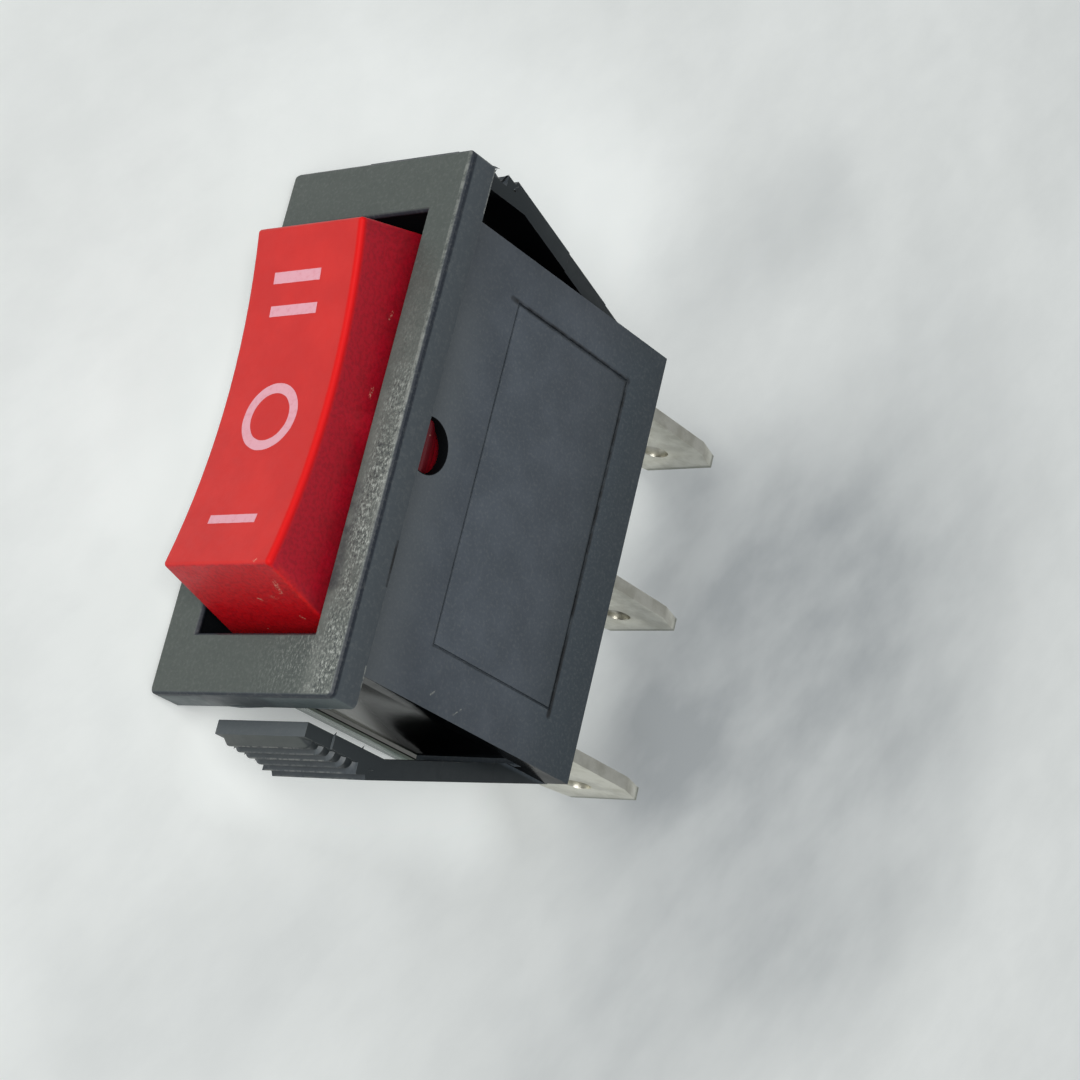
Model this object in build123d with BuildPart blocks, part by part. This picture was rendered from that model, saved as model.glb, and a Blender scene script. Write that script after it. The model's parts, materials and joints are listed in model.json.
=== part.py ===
from build123d import *
import os
from math import asin, atan, cos, radians, sin, tan

# A snap-in three-position rocker switch (on - off - on, one pole), drawn in the off position.
# Frame: millimetres, origin at the centre of the flange's underside, +Z out of the panel
# on the rocker's side, +Y towards the rocker's "II" end, +X towards the marked side wall.

os.makedirs("parts", exist_ok=True)

# ---------------------------------------------------------------- flange
flange_length = 31.0
flange_width = 13.4
flange_thickness = 1.96
flange_corner_radius = 0.35
flange_edge_bevel = 0.15

# ---------------------------------------------------------------- housing body behind the panel
body_width = 10.04
body_depth = 19.5
body_edge_chamfer = 0.12
floor_thickness = 1.6
side_wall = 0.67  # beside the rocker
lower_side_wall = 1.0  # beside the contacts
side_step_depth = 6.2  # below the flange, where the side walls get thicker
end_wall = 0.62
end_recess = 0.46  # sinks each end wall between the side walls, so that the wing can fold in
end_recess_width = 8.0
end_recess_bottom = 16.4  # below the flange
opening_lead_in = 0.18

# ---------------------------------------------------------------- frame scored into the +X side
score_width = 0.16
score_depth = 0.2
score_near = 6.05  # below the flange
score_far = 16.45  # below the flange
score_length = 20.2
score_shift = 0.3  # towards the +Y end

# ---------------------------------------------------------------- snap wings
wing_thickness = 1.1
wing_width = 6.9
wing_step = 0.06  # each split line in the wing narrows it by this on both sides
wing_step_depths = (10.74, 14.84)  # below the flange
wing_neck_depth = 2.3  # below the flange; the tip is narrower above it
wing_neck_step = 0.15
wing_knee_reach = 4.5  # from the body's end to the knee
wing_knee_depth = 5.25  # below the flange
wing_tip_gap = 0.3  # from the flange's plane to the wing's tip
wing_side_round = 0.7  # radius at the tip's edge, round which the teeth turn the wing's corners
wing_head_gap = 3.0  # from the body's end to the head's inner face
tooth_count = 5
tooth_pitch = 0.84
tooth_depth = 0.26
tooth_rise = 0.055  # each tooth stands this much further out than the one above it
tooth_lip = 0.15  # slope of a tooth's upper face

# ---------------------------------------------------------------- rocker
pivot_depth = 1.98  # below the flange
rocker_side_gap = 0.43
rocker_end_gap = 0.3  # least gap to the end wall as the rocker swings
rocker_crown_height = 4.78  # above the flange's underside, at the middle
rocker_end_height = 5.86
rocker_end_draft = 15.0  # degrees
rocker_wall = 1.0
rocker_top_wall = 1.3
rocker_edge_round = 0.22
rocker_skirt_depth = 1.5  # below the flange, at the ends
rocker_belly_depth = 2.9  # below the flange, between the ends and the hubs
rocker_hub_radius = 3.2
rocker_rib = 0.8
rocker_rib_place = 6.0

trunnion_radius = 1.47
trunnion_running_gap = 0.08
trunnion_recess = 0.2  # its end stands this far inside the side wall's outer face
trunnion_bevel_height = 1.35
trunnion_bevel_depth = 0.7

# ---------------------------------------------------------------- plunger and spring
plunger_radius = 1.6
plunger_length = 5.8
plunger_bore_radius = 1.25
plunger_bore_depth = 3.6
plunger_running_gap = 0.06
tube_wall = 0.8
tube_reach = 6.65  # from the pivot down to the tube's mouth
tube_floor_height = 2.0  # above the flange's underside
tip_reach = 9.2  # from the pivot down to the plunger's tip
spring_wire_radius = 0.18
spring_wire_sides = 6
spring_mean_radius = 0.98
spring_turns = 5
spring_end_gap = 0.05

# ---------------------------------------------------------------- contact bridge
bridge_thickness = 0.7
bridge_width = 4.4
bridge_length = 17.2
bridge_corner_radius = 1.2
bridge_tip_gap = 0.12  # from the plunger's tip to the valley
valley_radius = 4.4
valley_half_width = 2.4
shoulder_radius = 1.0  # on the underside of the bend beside the valley
pin_radius = bridge_thickness / 2
pin_running_gap = 0.05
bridge_limit = 12.0  # degrees each way, where a contact closes

# ---------------------------------------------------------------- contact rivets
contact_margin = 1.4  # from the bridge's end to a contact's centre
contact_radius = 1.5
contact_height = 0.8
contact_dome = 0.35  # height of the moving contact's domed crown
contact_bevel = 0.15
contact_closed_gap = 0.06
rivet_shank_radius = 0.8
rivet_fit_gap = 0.02
rivet_tail_radius = 1.15
rivet_tail_height = 0.3
fixed_contact_radius = 1.6
fixed_contact_height = 0.6

# ---------------------------------------------------------------- terminals
sheet = 0.8
blade_width = 6.3
blade_reach = 9.3  # from the housing's floor to the blade's tip
blade_pitch = 10.7
blade_end_gap = 0.95  # from the end blades to the inside of the end walls
blade_taper_length = 2.1
blade_taper_depth = 0.7
blade_hole_radius = 0.85
blade_hole_place = 2.7  # from the blade's tip
slot_gap = 0.05
shelf_width = 5.0
shelf_overhang = 1.8  # past the fixed contact's centre
bend_radius = 0.9
saddle_length = 3.5
ear_half_length = 1.7
ear_height_above_pin = 0.65
ear_side_gap = 0.4  # from the bridge's edge
post_side_gap = 0.3
rivet_pocket_gap = 0.3

# ---------------------------------------------------------------- sizes that follow
body_length = 2 * (blade_pitch + sheet / 2 + blade_end_gap + end_wall + end_recess)
half_body = body_length / 2
cavity_width = body_width - 2 * side_wall
lower_cavity_width = body_width - 2 * lower_side_wall
cavity_length = body_length - 2 * (end_recess + end_wall)
floor_top = floor_thickness - body_depth
pivot_z = -pivot_depth
rocker_width = cavity_width - 2 * rocker_side_gap
rocker_reach = cavity_length / 2 - rocker_end_gap
rocker_draft_slope = tan(radians(rocker_end_draft))
rocker_top_length = 2 * (rocker_reach - (rocker_end_height + rocker_skirt_depth) * rocker_draft_slope)
tube_bore_radius = plunger_radius + plunger_running_gap
tube_radius = tube_bore_radius + tube_wall
tube_mouth_z = pivot_z - tube_reach
plunger_tip_z = pivot_z - tip_reach
plunger_top_z = plunger_tip_z + plunger_length
plunger_bore_floor_z = plunger_top_z - plunger_bore_depth
valley_z = plunger_tip_z - bridge_tip_gap
bridge_pivot_z = valley_z - bridge_thickness / 2
ear_inner = bridge_width / 2 + ear_side_gap
ear_outer = ear_inner + sheet
ear_top_z = bridge_pivot_z + ear_height_above_pin
blade_tip_z = -body_depth - blade_reach
wing_lean = wing_knee_reach / (body_depth - wing_knee_depth)
wing_tip_reach = wing_knee_reach - wing_side_round
contact_place = bridge_length / 2 - contact_margin

# The bridge's bend: a valley round the plunger's tip, then a shoulder, then a level arm.
valley_angle = asin(valley_half_width / valley_radius)
valley_centre_z = valley_z + valley_radius
shoulder_outer = shoulder_radius + bridge_thickness
shoulder_y = (valley_radius + shoulder_outer) * sin(valley_angle)
shoulder_z = valley_centre_z - (valley_radius + shoulder_outer) * cos(valley_angle)
arm_top_z = shoulder_z + shoulder_outer
arm_under_z = arm_top_z - bridge_thickness

# The fixed contacts lie where the moving ones arrive when the bridge has swung to its limit.
swing = radians(bridge_limit)
crown_radius = (contact_radius**2 + contact_dome**2) / (2 * contact_dome)
crown_centre = arm_under_z - contact_height + crown_radius - bridge_pivot_z
contact_drop = contact_place * sin(swing) - crown_centre * cos(swing) + crown_radius
fixed_top_z = bridge_pivot_z - contact_drop - contact_closed_gap
shelf_top_z = fixed_top_z - fixed_contact_height
shelf_under_z = shelf_top_z - sheet


def point_on(centre_y, centre_z, radius, angle):
    """A point in the YZ plane, on a circle, at an angle in radians from straight down."""
    return (centre_y + radius * sin(angle), centre_z - radius * cos(angle))


# ================================================================ housing
def tooth_outline(first):
    """The wing's toothed face at the +Y end, as (y, z) points from a tooth's foot up to the tip."""
    points = []
    for tooth in range(first, tooth_count):
        crest_y = half_body + wing_knee_reach - tooth_rise * tooth
        crest_z = -wing_knee_depth + tooth_pitch * tooth
        points.append((crest_y - tooth_depth, crest_z + tooth_lip))
        points.append((crest_y - tooth_rise, crest_z + tooth_pitch))
    points.append((half_body + wing_tip_reach, -wing_tip_gap))
    return points


def wing_outline():
    """The closed outline of the wing at the +Y end, as (y, z) points, from its foot upwards."""
    head_y = half_body + wing_head_gap
    leg_width = wing_thickness / cos(atan(wing_lean))
    root_y = half_body - end_recess - end_wall / 2
    bend_z = -body_depth + (head_y + leg_width - half_body) / wing_lean
    root_z = -body_depth + (root_y + leg_width - half_body) / wing_lean
    foot = [(root_y, -body_depth), (half_body, -body_depth), (half_body + wing_knee_reach, -wing_knee_depth)]
    return foot + tooth_outline(0) + [(head_y, -wing_tip_gap), (head_y, bend_z), (root_y, root_z)]


def cut_wing_sides(top_z, bottom_z, step):
    """Narrow both wings by a step on each side, between two heights."""
    reach = 2 * wing_knee_reach
    with BuildSketch(Plane.XY.offset(top_z)) as strips:
        with GridLocations(wing_width + sheet - 2 * step, body_length + reach, 2, 2):
            Rectangle(sheet, reach)
    extrude(strips.sketch, amount=bottom_z - top_z, mode=Mode.SUBTRACT)


with BuildPart() as housing:
    # Flange, bevelled on its front edge.
    with BuildSketch(Plane.XY):
        RectangleRounded(flange_width, flange_length, flange_corner_radius)
    extrude(amount=flange_thickness)
    chamfer(housing.faces().sort_by(Axis.Z)[-1].edges(), flange_edge_bevel)

    # Body, bevelled round its rear face.
    with BuildSketch(Plane.XY):
        Rectangle(body_width, body_length)
    extrude(amount=-body_depth)
    chamfer(housing.faces().sort_by(Axis.Z)[0].edges(), body_edge_chamfer)

    # Recesses in the end walls, between the side walls, where the wings fold in.
    with BuildSketch(Plane.XY):
        with GridLocations(0, body_length - end_recess, 1, 2):
            Rectangle(end_recess_width, end_recess)
    extrude(amount=-end_recess_bottom, mode=Mode.SUBTRACT)

    # Snap wings with their gripping teeth, one at each end.
    for way in (1, -1):
        with BuildSketch(Plane.YZ):
            with BuildLine():
                Polyline([(way * y, z) for y, z in wing_outline()], close=True)
            make_face()
        extrude(amount=wing_width / 2, both=True)
    # Above the lowest tooth the others turn round the wings' sides: the corners
    # are cut off square, and a toothed drum stands in each.
    drum_foot_z = tooth_pitch - wing_knee_depth
    with BuildSketch(Plane.XY.offset(drum_foot_z)):
        with GridLocations(wing_width, body_length + 2 * wing_knee_reach, 2, 2):
            Rectangle(2 * wing_side_round, 2 * wing_side_round)
    extrude(amount=-drum_foot_z, mode=Mode.SUBTRACT)
    drum_x = wing_width / 2 - wing_side_round
    drum_y = half_body + wing_tip_reach
    for way, side in ((1, 1), (1, -1), (-1, 1), (-1, -1)):
        with BuildSketch(Plane.YZ.offset(side * drum_x)):
            with BuildLine():
                drum_foot = [(drum_y, drum_foot_z), (half_body + wing_knee_reach - tooth_rise, drum_foot_z)]
                Polyline([(way * y, z) for y, z in drum_foot + tooth_outline(1)], close=True)
            make_face()
        revolve(axis=Axis((side * drum_x, way * drum_y, 0), (0, 0, 1)))
    cut_wing_sides(0, -wing_neck_depth, wing_neck_step)
    for number, depth in enumerate(wing_step_depths, start=1):
        cut_wing_sides(-depth, -body_depth, wing_step * number)

    # Cavity for the rocker, and the narrower one for the contacts under it.
    with BuildSketch(Plane.XY.offset(flange_thickness)):
        Rectangle(cavity_width, cavity_length)
    extrude(amount=-flange_thickness - side_step_depth, mode=Mode.SUBTRACT)
    with BuildSketch(Plane.XY.offset(-side_step_depth)):
        Rectangle(lower_cavity_width, cavity_length)
    extrude(amount=floor_top + side_step_depth, mode=Mode.SUBTRACT)
    chamfer(housing.faces().sort_by(Axis.Z)[-1].inner_wires()[0].edges(), opening_lead_in)

    # Posts under the fixed contacts, each with a pocket for the rivet's tail.
    post_outer_y = blade_pitch - sheet / 2 - post_side_gap
    post_inner_y = contact_place - shelf_overhang
    with BuildSketch(Plane.XY.offset(floor_top)):
        with GridLocations(0, post_outer_y + post_inner_y, 1, 2):
            Rectangle(shelf_width, post_outer_y - post_inner_y)
    extrude(amount=shelf_under_z - floor_top)
    pocket_side = 2 * (rivet_tail_radius + rivet_pocket_gap)
    with BuildSketch(Plane.XY.offset(shelf_under_z)):
        with GridLocations(0, 2 * contact_place, 1, 2):
            Rectangle(pocket_side, pocket_side)
    extrude(amount=-rivet_tail_height - rivet_pocket_gap, mode=Mode.SUBTRACT)

    # Slots in the floor for the three blades.
    with BuildSketch(Plane.XY.offset(floor_top)):
        with GridLocations(0, blade_pitch, 1, 3):
            Rectangle(blade_width + 2 * slot_gap, sheet + 2 * slot_gap)
    extrude(amount=-floor_thickness, mode=Mode.SUBTRACT)

    # Trunnion holes through both side walls.
    with BuildSketch(Plane.YZ):
        with Locations((0, pivot_z)):
            Circle(trunnion_radius + trunnion_running_gap)
    extrude(amount=body_width, both=True, mode=Mode.SUBTRACT)

    # Plain frame scored into the +X side wall.
    score_height = score_far - score_near
    with BuildSketch(Plane.YZ.offset(body_width / 2)):
        with Locations((score_shift, -(score_near + score_far) / 2)):
            Rectangle(score_length, score_height)
            Rectangle(score_length - 2 * score_width, score_height - 2 * score_width, mode=Mode.SUBTRACT)
    extrude(amount=-score_depth, mode=Mode.SUBTRACT)
housing.part.label = "housing"
export_step(housing.part, "parts/housing.step")


# ================================================================ rocker
def end_y(z, inset=0.0):
    """How far out the rocker's drafted end face stands at a height, less an inset."""
    return rocker_top_length / 2 + (rocker_end_height - z) * rocker_draft_slope - inset


def rocker_face(inset_top, inset_end, bottom_z):
    """Sketch the rocker's side outline, under its hollow top and down to a level bottom."""
    top_y = rocker_top_length / 2 - inset_end
    with BuildLine() as outline:
        ThreePointArc(
            (-top_y, rocker_end_height - inset_top),
            (0, rocker_crown_height - inset_top),
            (top_y, rocker_end_height - inset_top),
        )
        Polyline(
            (top_y, rocker_end_height - inset_top),
            (end_y(bottom_z, inset_end), bottom_z),
            (-end_y(bottom_z, inset_end), bottom_z),
            (-top_y, rocker_end_height - inset_top),
        )
    make_face(outline.edges())


with BuildPart() as rocker:
    # Outer form: concave top, drafted ends, a belly between them and a hub at each trunnion.
    with BuildSketch(Plane.YZ):
        rocker_face(0, 0, -rocker_skirt_depth)
        with BuildLine():
            Polyline(
                (end_y(-rocker_skirt_depth), -rocker_skirt_depth),
                (end_y(-rocker_skirt_depth, rocker_wall), -rocker_belly_depth),
                (-end_y(-rocker_skirt_depth, rocker_wall), -rocker_belly_depth),
                (-end_y(-rocker_skirt_depth), -rocker_skirt_depth),
                close=True,
            )
        make_face()
        with Locations((0, pivot_z)):
            Circle(rocker_hub_radius)
    extrude(amount=rocker_width / 2, both=True)
    crown_z = rocker_crown_height - rocker_edge_round
    top_edges = rocker.edges().filter_by(lambda edge: edge.center().Z > crown_z)
    end_edges = rocker.edges().filter_by_position(Axis.Z, -rocker_skirt_depth, rocker_end_height)
    fillet(top_edges + (end_edges - top_edges).filter_by(Plane.YZ), rocker_edge_round)

    # Hollow underside.
    with BuildSketch(Plane.YZ):
        rocker_face(rocker_top_wall, rocker_wall, -rocker_belly_depth - 2 * rocker_hub_radius)
    extrude(amount=rocker_width / 2 - rocker_wall, both=True, mode=Mode.SUBTRACT)

    # Ribs: one lengthwise, two across.
    with BuildSketch(Plane.YZ):
        rocker_face(rocker_top_wall / 2, rocker_wall / 2, 0)
    extrude(amount=rocker_rib / 2, both=True)
    for way in (1, -1):
        with BuildSketch(Plane.XZ.offset(way * rocker_rib_place)):
            with Locations((0, rocker_crown_height / 2)):
                Rectangle(rocker_width - rocker_wall, rocker_crown_height - rocker_top_wall / 2)
        extrude(amount=rocker_rib / 2, both=True)

    # Spring tube, blind at its top.
    with BuildSketch(Plane.XY.offset(tube_mouth_z)):
        Circle(tube_radius)
    extrude(amount=rocker_crown_height - rocker_top_wall / 2 - tube_mouth_z)
    with BuildSketch(Plane.XY.offset(tube_mouth_z)):
        Circle(tube_bore_radius)
    extrude(amount=tube_floor_height - tube_mouth_z, mode=Mode.SUBTRACT)

    # Trunnions, bevelled underneath so that they snap into the housing.
    trunnion_end = body_width / 2 - trunnion_recess
    for side in (1, -1):
        with BuildSketch(Plane.YZ.offset(side * (rocker_width - rocker_wall) / 2)):
            with Locations((0, pivot_z)):
                Circle(trunnion_radius)
        extrude(amount=side * (trunnion_end - (rocker_width - rocker_wall) / 2))
        with BuildSketch(Plane.XZ):
            with BuildLine():
                Polyline(
                    (side * trunnion_end, pivot_z - trunnion_radius),
                    (side * trunnion_end, pivot_z - trunnion_radius + trunnion_bevel_height),
                    (side * (trunnion_end - trunnion_bevel_depth), pivot_z - trunnion_radius),
                    close=True,
                )
            make_face()
        extrude(amount=trunnion_radius, both=True, mode=Mode.SUBTRACT)
rocker.part.label = "rocker"
export_step(rocker.part, "parts/rocker.step")


# ================================================================ plunger and spring
with BuildPart() as plunger:
    with BuildSketch(Plane.XZ):
        with BuildLine():
            RadiusArc(
                (0, plunger_tip_z),
                (plunger_radius, plunger_tip_z + plunger_radius),
                -plunger_radius,
            )
            Polyline(
                (plunger_radius, plunger_tip_z + plunger_radius),
                (plunger_radius, plunger_top_z),
                (plunger_bore_radius, plunger_top_z),
                (plunger_bore_radius, plunger_bore_floor_z),
                (0, plunger_bore_floor_z),
                (0, plunger_tip_z),
            )
        make_face()
    revolve(axis=Axis.Z)
plunger.part.label = "plunger"
export_step(plunger.part, "parts/plunger.step")

spring_bottom_z = plunger_bore_floor_z + spring_end_gap + spring_wire_radius
spring_top_z = tube_floor_height - spring_end_gap - spring_wire_radius
with BuildPart() as spring:
    with BuildLine() as coil:
        Helix(
            pitch=(spring_top_z - spring_bottom_z) / spring_turns,
            height=spring_top_z - spring_bottom_z,
            radius=spring_mean_radius,
            center=(0, 0, spring_bottom_z),
        )
    with BuildSketch(Plane(origin=coil.line @ 0, z_dir=coil.line % 0)):
        RegularPolygon(spring_wire_radius, side_count=spring_wire_sides)
    sweep()
spring.part.label = "spring"
export_step(spring.part, "parts/spring.step")


# ================================================================ contact bridge
def bridge_face():
    """Sketch the bent strip seen from its side: valley, shoulders and level arms."""
    arm_end = bridge_length / 2
    half = valley_angle / 2
    low = valley_radius + bridge_thickness
    with BuildLine() as outline:
        for way in (1, -1):
            angles = (0, way * half, way * valley_angle)
            over = [point_on(0, valley_centre_z, valley_radius, angle) for angle in angles]
            under = [point_on(0, valley_centre_z, low, angle) for angle in angles]
            ThreePointArc(*over)
            ThreePointArc(*under)
            for radius, start, end_z in (
                (shoulder_outer, over[2], arm_top_z),
                (shoulder_radius, under[2], arm_under_z),
            ):
                turn = point_on(way * shoulder_y, shoulder_z, -radius, way * half)
                ThreePointArc(start, turn, (way * shoulder_y, end_z))
                Line((way * shoulder_y, end_z), (way * arm_end, end_z))
            Line((way * arm_end, arm_top_z), (way * arm_end, arm_under_z))
    make_face(outline.edges())


with BuildPart() as contact_bridge:
    with BuildSketch(Plane.YZ):
        bridge_face()
    extrude(amount=bridge_width / 2, both=True)
    corners = contact_bridge.edges().filter_by(Axis.Z).group_by(Axis.Y)
    fillet(corners[0] + corners[-1], bridge_corner_radius)
    # Coined pins on which the bridge rocks.
    with BuildSketch(Plane.YZ):
        with Locations((0, bridge_pivot_z)):
            Circle(pin_radius)
    extrude(amount=ear_outer, both=True)
    with BuildSketch(Plane.XY.offset(arm_under_z)):
        with GridLocations(0, 2 * contact_place, 1, 2):
            Circle(rivet_shank_radius + rivet_fit_gap)
    extrude(amount=bridge_thickness, mode=Mode.SUBTRACT)
contact_bridge.part.label = "contact_bridge"
export_step(contact_bridge.part, "parts/contact_bridge.step")

for way, name in ((-1, "moving_contact_i"), (1, "moving_contact_ii")):
    middle = way * contact_place
    with BuildPart() as moving_contact:
        with BuildSketch(Plane.XZ.offset(-middle)):
            with BuildLine():
                RadiusArc(
                    (0, arm_under_z - contact_height),
                    (contact_radius, arm_under_z - contact_height + contact_dome),
                    -crown_radius,
                )
                Polyline(
                    (contact_radius, arm_under_z - contact_height + contact_dome),
                    (contact_radius, arm_under_z),
                    (rivet_shank_radius, arm_under_z),
                    (rivet_shank_radius, arm_top_z),
                    (rivet_tail_radius, arm_top_z),
                    (rivet_shank_radius, arm_top_z + rivet_tail_height),
                    (0, arm_top_z + rivet_tail_height),
                    (0, arm_under_z - contact_height),
                )
            make_face()
        revolve(axis=Axis((0, middle, 0), (0, 0, 1)))
    moving_contact.part.label = name
    export_step(moving_contact.part, f"parts/{name}.step")


# ================================================================ terminals
def cut_blade(middle):
    """Taper the tip of a terminal's blade and pierce its hole."""
    with BuildSketch(Plane.XZ.offset(-middle)) as waste:
        for side in (1, -1):
            with BuildLine():
                Polyline(
                    (side * blade_width / 2, blade_tip_z),
                    (side * blade_width / 2, blade_tip_z + blade_taper_length),
                    (side * (blade_width / 2 - blade_taper_depth), blade_tip_z),
                    close=True,
                )
            make_face()
        with Locations((0, blade_tip_z + blade_hole_place)):
            Circle(blade_hole_radius)
    extrude(waste.sketch, amount=sheet, both=True, mode=Mode.SUBTRACT)


for way, name in ((-1, "end_terminal_i"), (1, "end_terminal_ii")):
    middle = way * blade_pitch
    shelf_end = way * (contact_place - shelf_overhang)
    outer_face = middle + way * sheet / 2
    with BuildPart() as end_terminal:
        # Blade, then the shelf bent over from its top.
        with BuildSketch(Plane.XZ.offset(-middle)):
            with Locations((0, (shelf_top_z + blade_tip_z) / 2)):
                Rectangle(blade_width, shelf_top_z - blade_tip_z)
        extrude(amount=sheet / 2, both=True)
        with BuildSketch(Plane.XY.offset(shelf_under_z)):
            with Locations((0, (shelf_end + outer_face) / 2)):
                Rectangle(shelf_width, abs(outer_face - shelf_end))
        extrude(amount=sheet)
        bend_edges = end_terminal.edges().filter_by(Axis.X).group_by(Axis.Z)[-1].sort_by(Axis.Y)
        fillet(bend_edges[-1 if way > 0 else 0], bend_radius)
        cut_blade(middle)
        with BuildSketch(Plane.XY.offset(shelf_under_z)):
            with Locations((0, way * contact_place)):
                Circle(rivet_shank_radius + rivet_fit_gap)
        extrude(amount=sheet, mode=Mode.SUBTRACT)
    end_terminal.part.label = name
    export_step(end_terminal.part, f"parts/{name}.step")

for way, name in ((-1, "fixed_contact_i"), (1, "fixed_contact_ii")):
    middle = way * contact_place
    with BuildPart() as fixed_contact:
        with BuildSketch(Plane.XZ.offset(-middle)):
            with BuildLine():
                Polyline(
                    (0, fixed_top_z),
                    (fixed_contact_radius - contact_bevel, fixed_top_z),
                    (fixed_contact_radius, fixed_top_z - contact_bevel),
                    (fixed_contact_radius, shelf_top_z),
                    (rivet_shank_radius, shelf_top_z),
                    (rivet_shank_radius, shelf_under_z),
                    (rivet_tail_radius, shelf_under_z),
                    (rivet_shank_radius, shelf_under_z - rivet_tail_height),
                    (0, shelf_under_z - rivet_tail_height),
                    close=True,
                )
            make_face()
        revolve(axis=Axis((0, middle, 0), (0, 0, 1)))
    fixed_contact.part.label = name
    export_step(fixed_contact.part, f"parts/{name}.step")

with BuildPart() as common_terminal:
    # Blade, and the base folded over from its top onto the housing's floor.
    base_end = saddle_length - sheet / 2
    with BuildSketch(Plane.XZ):
        with Locations((0, (floor_top + sheet + blade_tip_z) / 2)):
            Rectangle(blade_width, floor_top + sheet - blade_tip_z)
    extrude(amount=sheet / 2, both=True)
    with BuildSketch(Plane.XY.offset(floor_top)):
        with Locations((0, (base_end - sheet / 2) / 2)):
            Rectangle(2 * ear_outer, base_end + sheet / 2)
    extrude(amount=sheet)
    # Ears folded up from the base's sides, each with a notch for one of the bridge's pins.
    for side in (1, -1):
        with BuildSketch(Plane.YZ.offset(side * ear_inner)):
            with BuildLine():
                Polyline(
                    (-sheet / 2, floor_top),
                    (base_end, floor_top),
                    (ear_half_length, ear_top_z - sheet),
                    (ear_half_length, ear_top_z),
                    (-ear_half_length, ear_top_z),
                    (-ear_half_length, ear_top_z - 2 * sheet),
                    close=True,
                )
            make_face()
            with Locations((0, bridge_pivot_z)):
                Circle(pin_radius + pin_running_gap, mode=Mode.SUBTRACT)
            with BuildLine():
                Polyline(
                    (-pin_radius - pin_running_gap, bridge_pivot_z),
                    (pin_radius + pin_running_gap, bridge_pivot_z),
                    (2 * pin_radius, ear_top_z),
                    (-2 * pin_radius, ear_top_z),
                    close=True,
                )
            make_face(mode=Mode.SUBTRACT)
        extrude(amount=side * sheet)
    cut_blade(0)
common_terminal.part.label = "common_terminal"
export_step(common_terminal.part, "parts/common_terminal.step")
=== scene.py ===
import json
import logging
import math
from dataclasses import dataclass
from enum import Enum
from typing import Sequence

import bmesh
import bpy
from mathutils import Matrix, Vector
from mathutils import noise as fractal

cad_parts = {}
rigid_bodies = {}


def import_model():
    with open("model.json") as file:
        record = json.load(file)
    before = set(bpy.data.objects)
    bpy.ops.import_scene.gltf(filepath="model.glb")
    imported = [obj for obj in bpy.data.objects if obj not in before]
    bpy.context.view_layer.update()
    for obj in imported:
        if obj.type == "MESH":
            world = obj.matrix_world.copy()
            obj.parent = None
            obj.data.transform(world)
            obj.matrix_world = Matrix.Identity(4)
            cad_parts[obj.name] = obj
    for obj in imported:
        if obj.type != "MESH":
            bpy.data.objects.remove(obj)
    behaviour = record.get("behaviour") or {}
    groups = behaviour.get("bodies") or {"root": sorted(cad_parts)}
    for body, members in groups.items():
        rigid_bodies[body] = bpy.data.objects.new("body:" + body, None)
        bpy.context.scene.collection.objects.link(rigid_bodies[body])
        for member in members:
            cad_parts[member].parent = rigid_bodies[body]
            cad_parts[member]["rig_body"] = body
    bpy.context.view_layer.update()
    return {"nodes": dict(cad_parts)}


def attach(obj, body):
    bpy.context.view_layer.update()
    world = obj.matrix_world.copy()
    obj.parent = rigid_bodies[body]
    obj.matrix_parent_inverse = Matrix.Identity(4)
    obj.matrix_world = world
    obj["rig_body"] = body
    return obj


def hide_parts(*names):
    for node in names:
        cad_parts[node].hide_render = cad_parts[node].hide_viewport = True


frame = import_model()

LOG = logging.getLogger("rocker_switch")
MM = 0.001  # metres in a millimetre
RED_SLOT = "red_plastic"
BLACK_SLOT = "black_nylon"
MIX_UNDER, MIX_OVER, MIX_RESULT = 6, 7, 2  # colour sockets of Blender's mix node
BEVEL_SAMPLES = 6  # looks at the surface round a place, to find how near an edge is
FACING = (0.6, 0.9)  # shares of the normal along an axis, from not facing it to facing it
AVERTED = (-0.6, -0.9)  # the same for facing the other way
EVEN, ALONG_Y, ALONG_Z = (1.0, 1.0, 1.0), (1.0, 0.12, 1.0), (1.0, 1.0, 0.12)  # which way rolling marks run


class Axis(Enum):
    """A direction of the object's own frame, as an index into a vector."""

    X = 0
    Y = 1
    Z = 2


@dataclass(frozen=True)
class Clouds:
    """Cloudy noise that is eased into a share."""

    grain: float  # mm, size of the coarsest patches
    detail: float  # how many finer layers
    low: float  # noise at which the share is the least
    high: float  # noise at which it is the most
    least: float = 0.0
    most: float = 1.0
    rough: float = 0.55  # how strong the finer layers are


@dataclass(frozen=True)
class WingTeeth:
    """The steps on the lower wing's outer face, counted from the lowest."""

    count: int = 5
    knee: tuple = (-17.63, -5.25)  # (y, z) of the lowest crest, mm
    lean: float = 0.055  # mm, how much nearer the body each crest stands than the one below
    pitch: float = 0.84  # mm
    tip: tuple = (-17.36, -1.05)  # (y, z), mm

    def crest(self, tooth: int) -> tuple:
        """Where a crest lies.

        Args:
            tooth: The tooth's number, with the wing's tip after the last.

        Returns:
            Its (y, z), in millimetres.
        """
        if tooth == self.count:
            return self.tip
        y, z = self.knee
        return (self.lean * tooth + y, self.pitch * tooth + z)


TEETH = WingTeeth()


def slab(axis: Axis, low: float, high: float, ease: float) -> tuple:
    """The two soft borders of a slab across an axis.

    Args:
        axis: The axis.
        low: Where the slab starts, in millimetres.
        high: Where it ends.
        ease: Width of its borders.

    Returns:
        The borders, as Graph.region takes them.
    """
    return ((axis, low, low + ease), (axis, high, high - ease))


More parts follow.
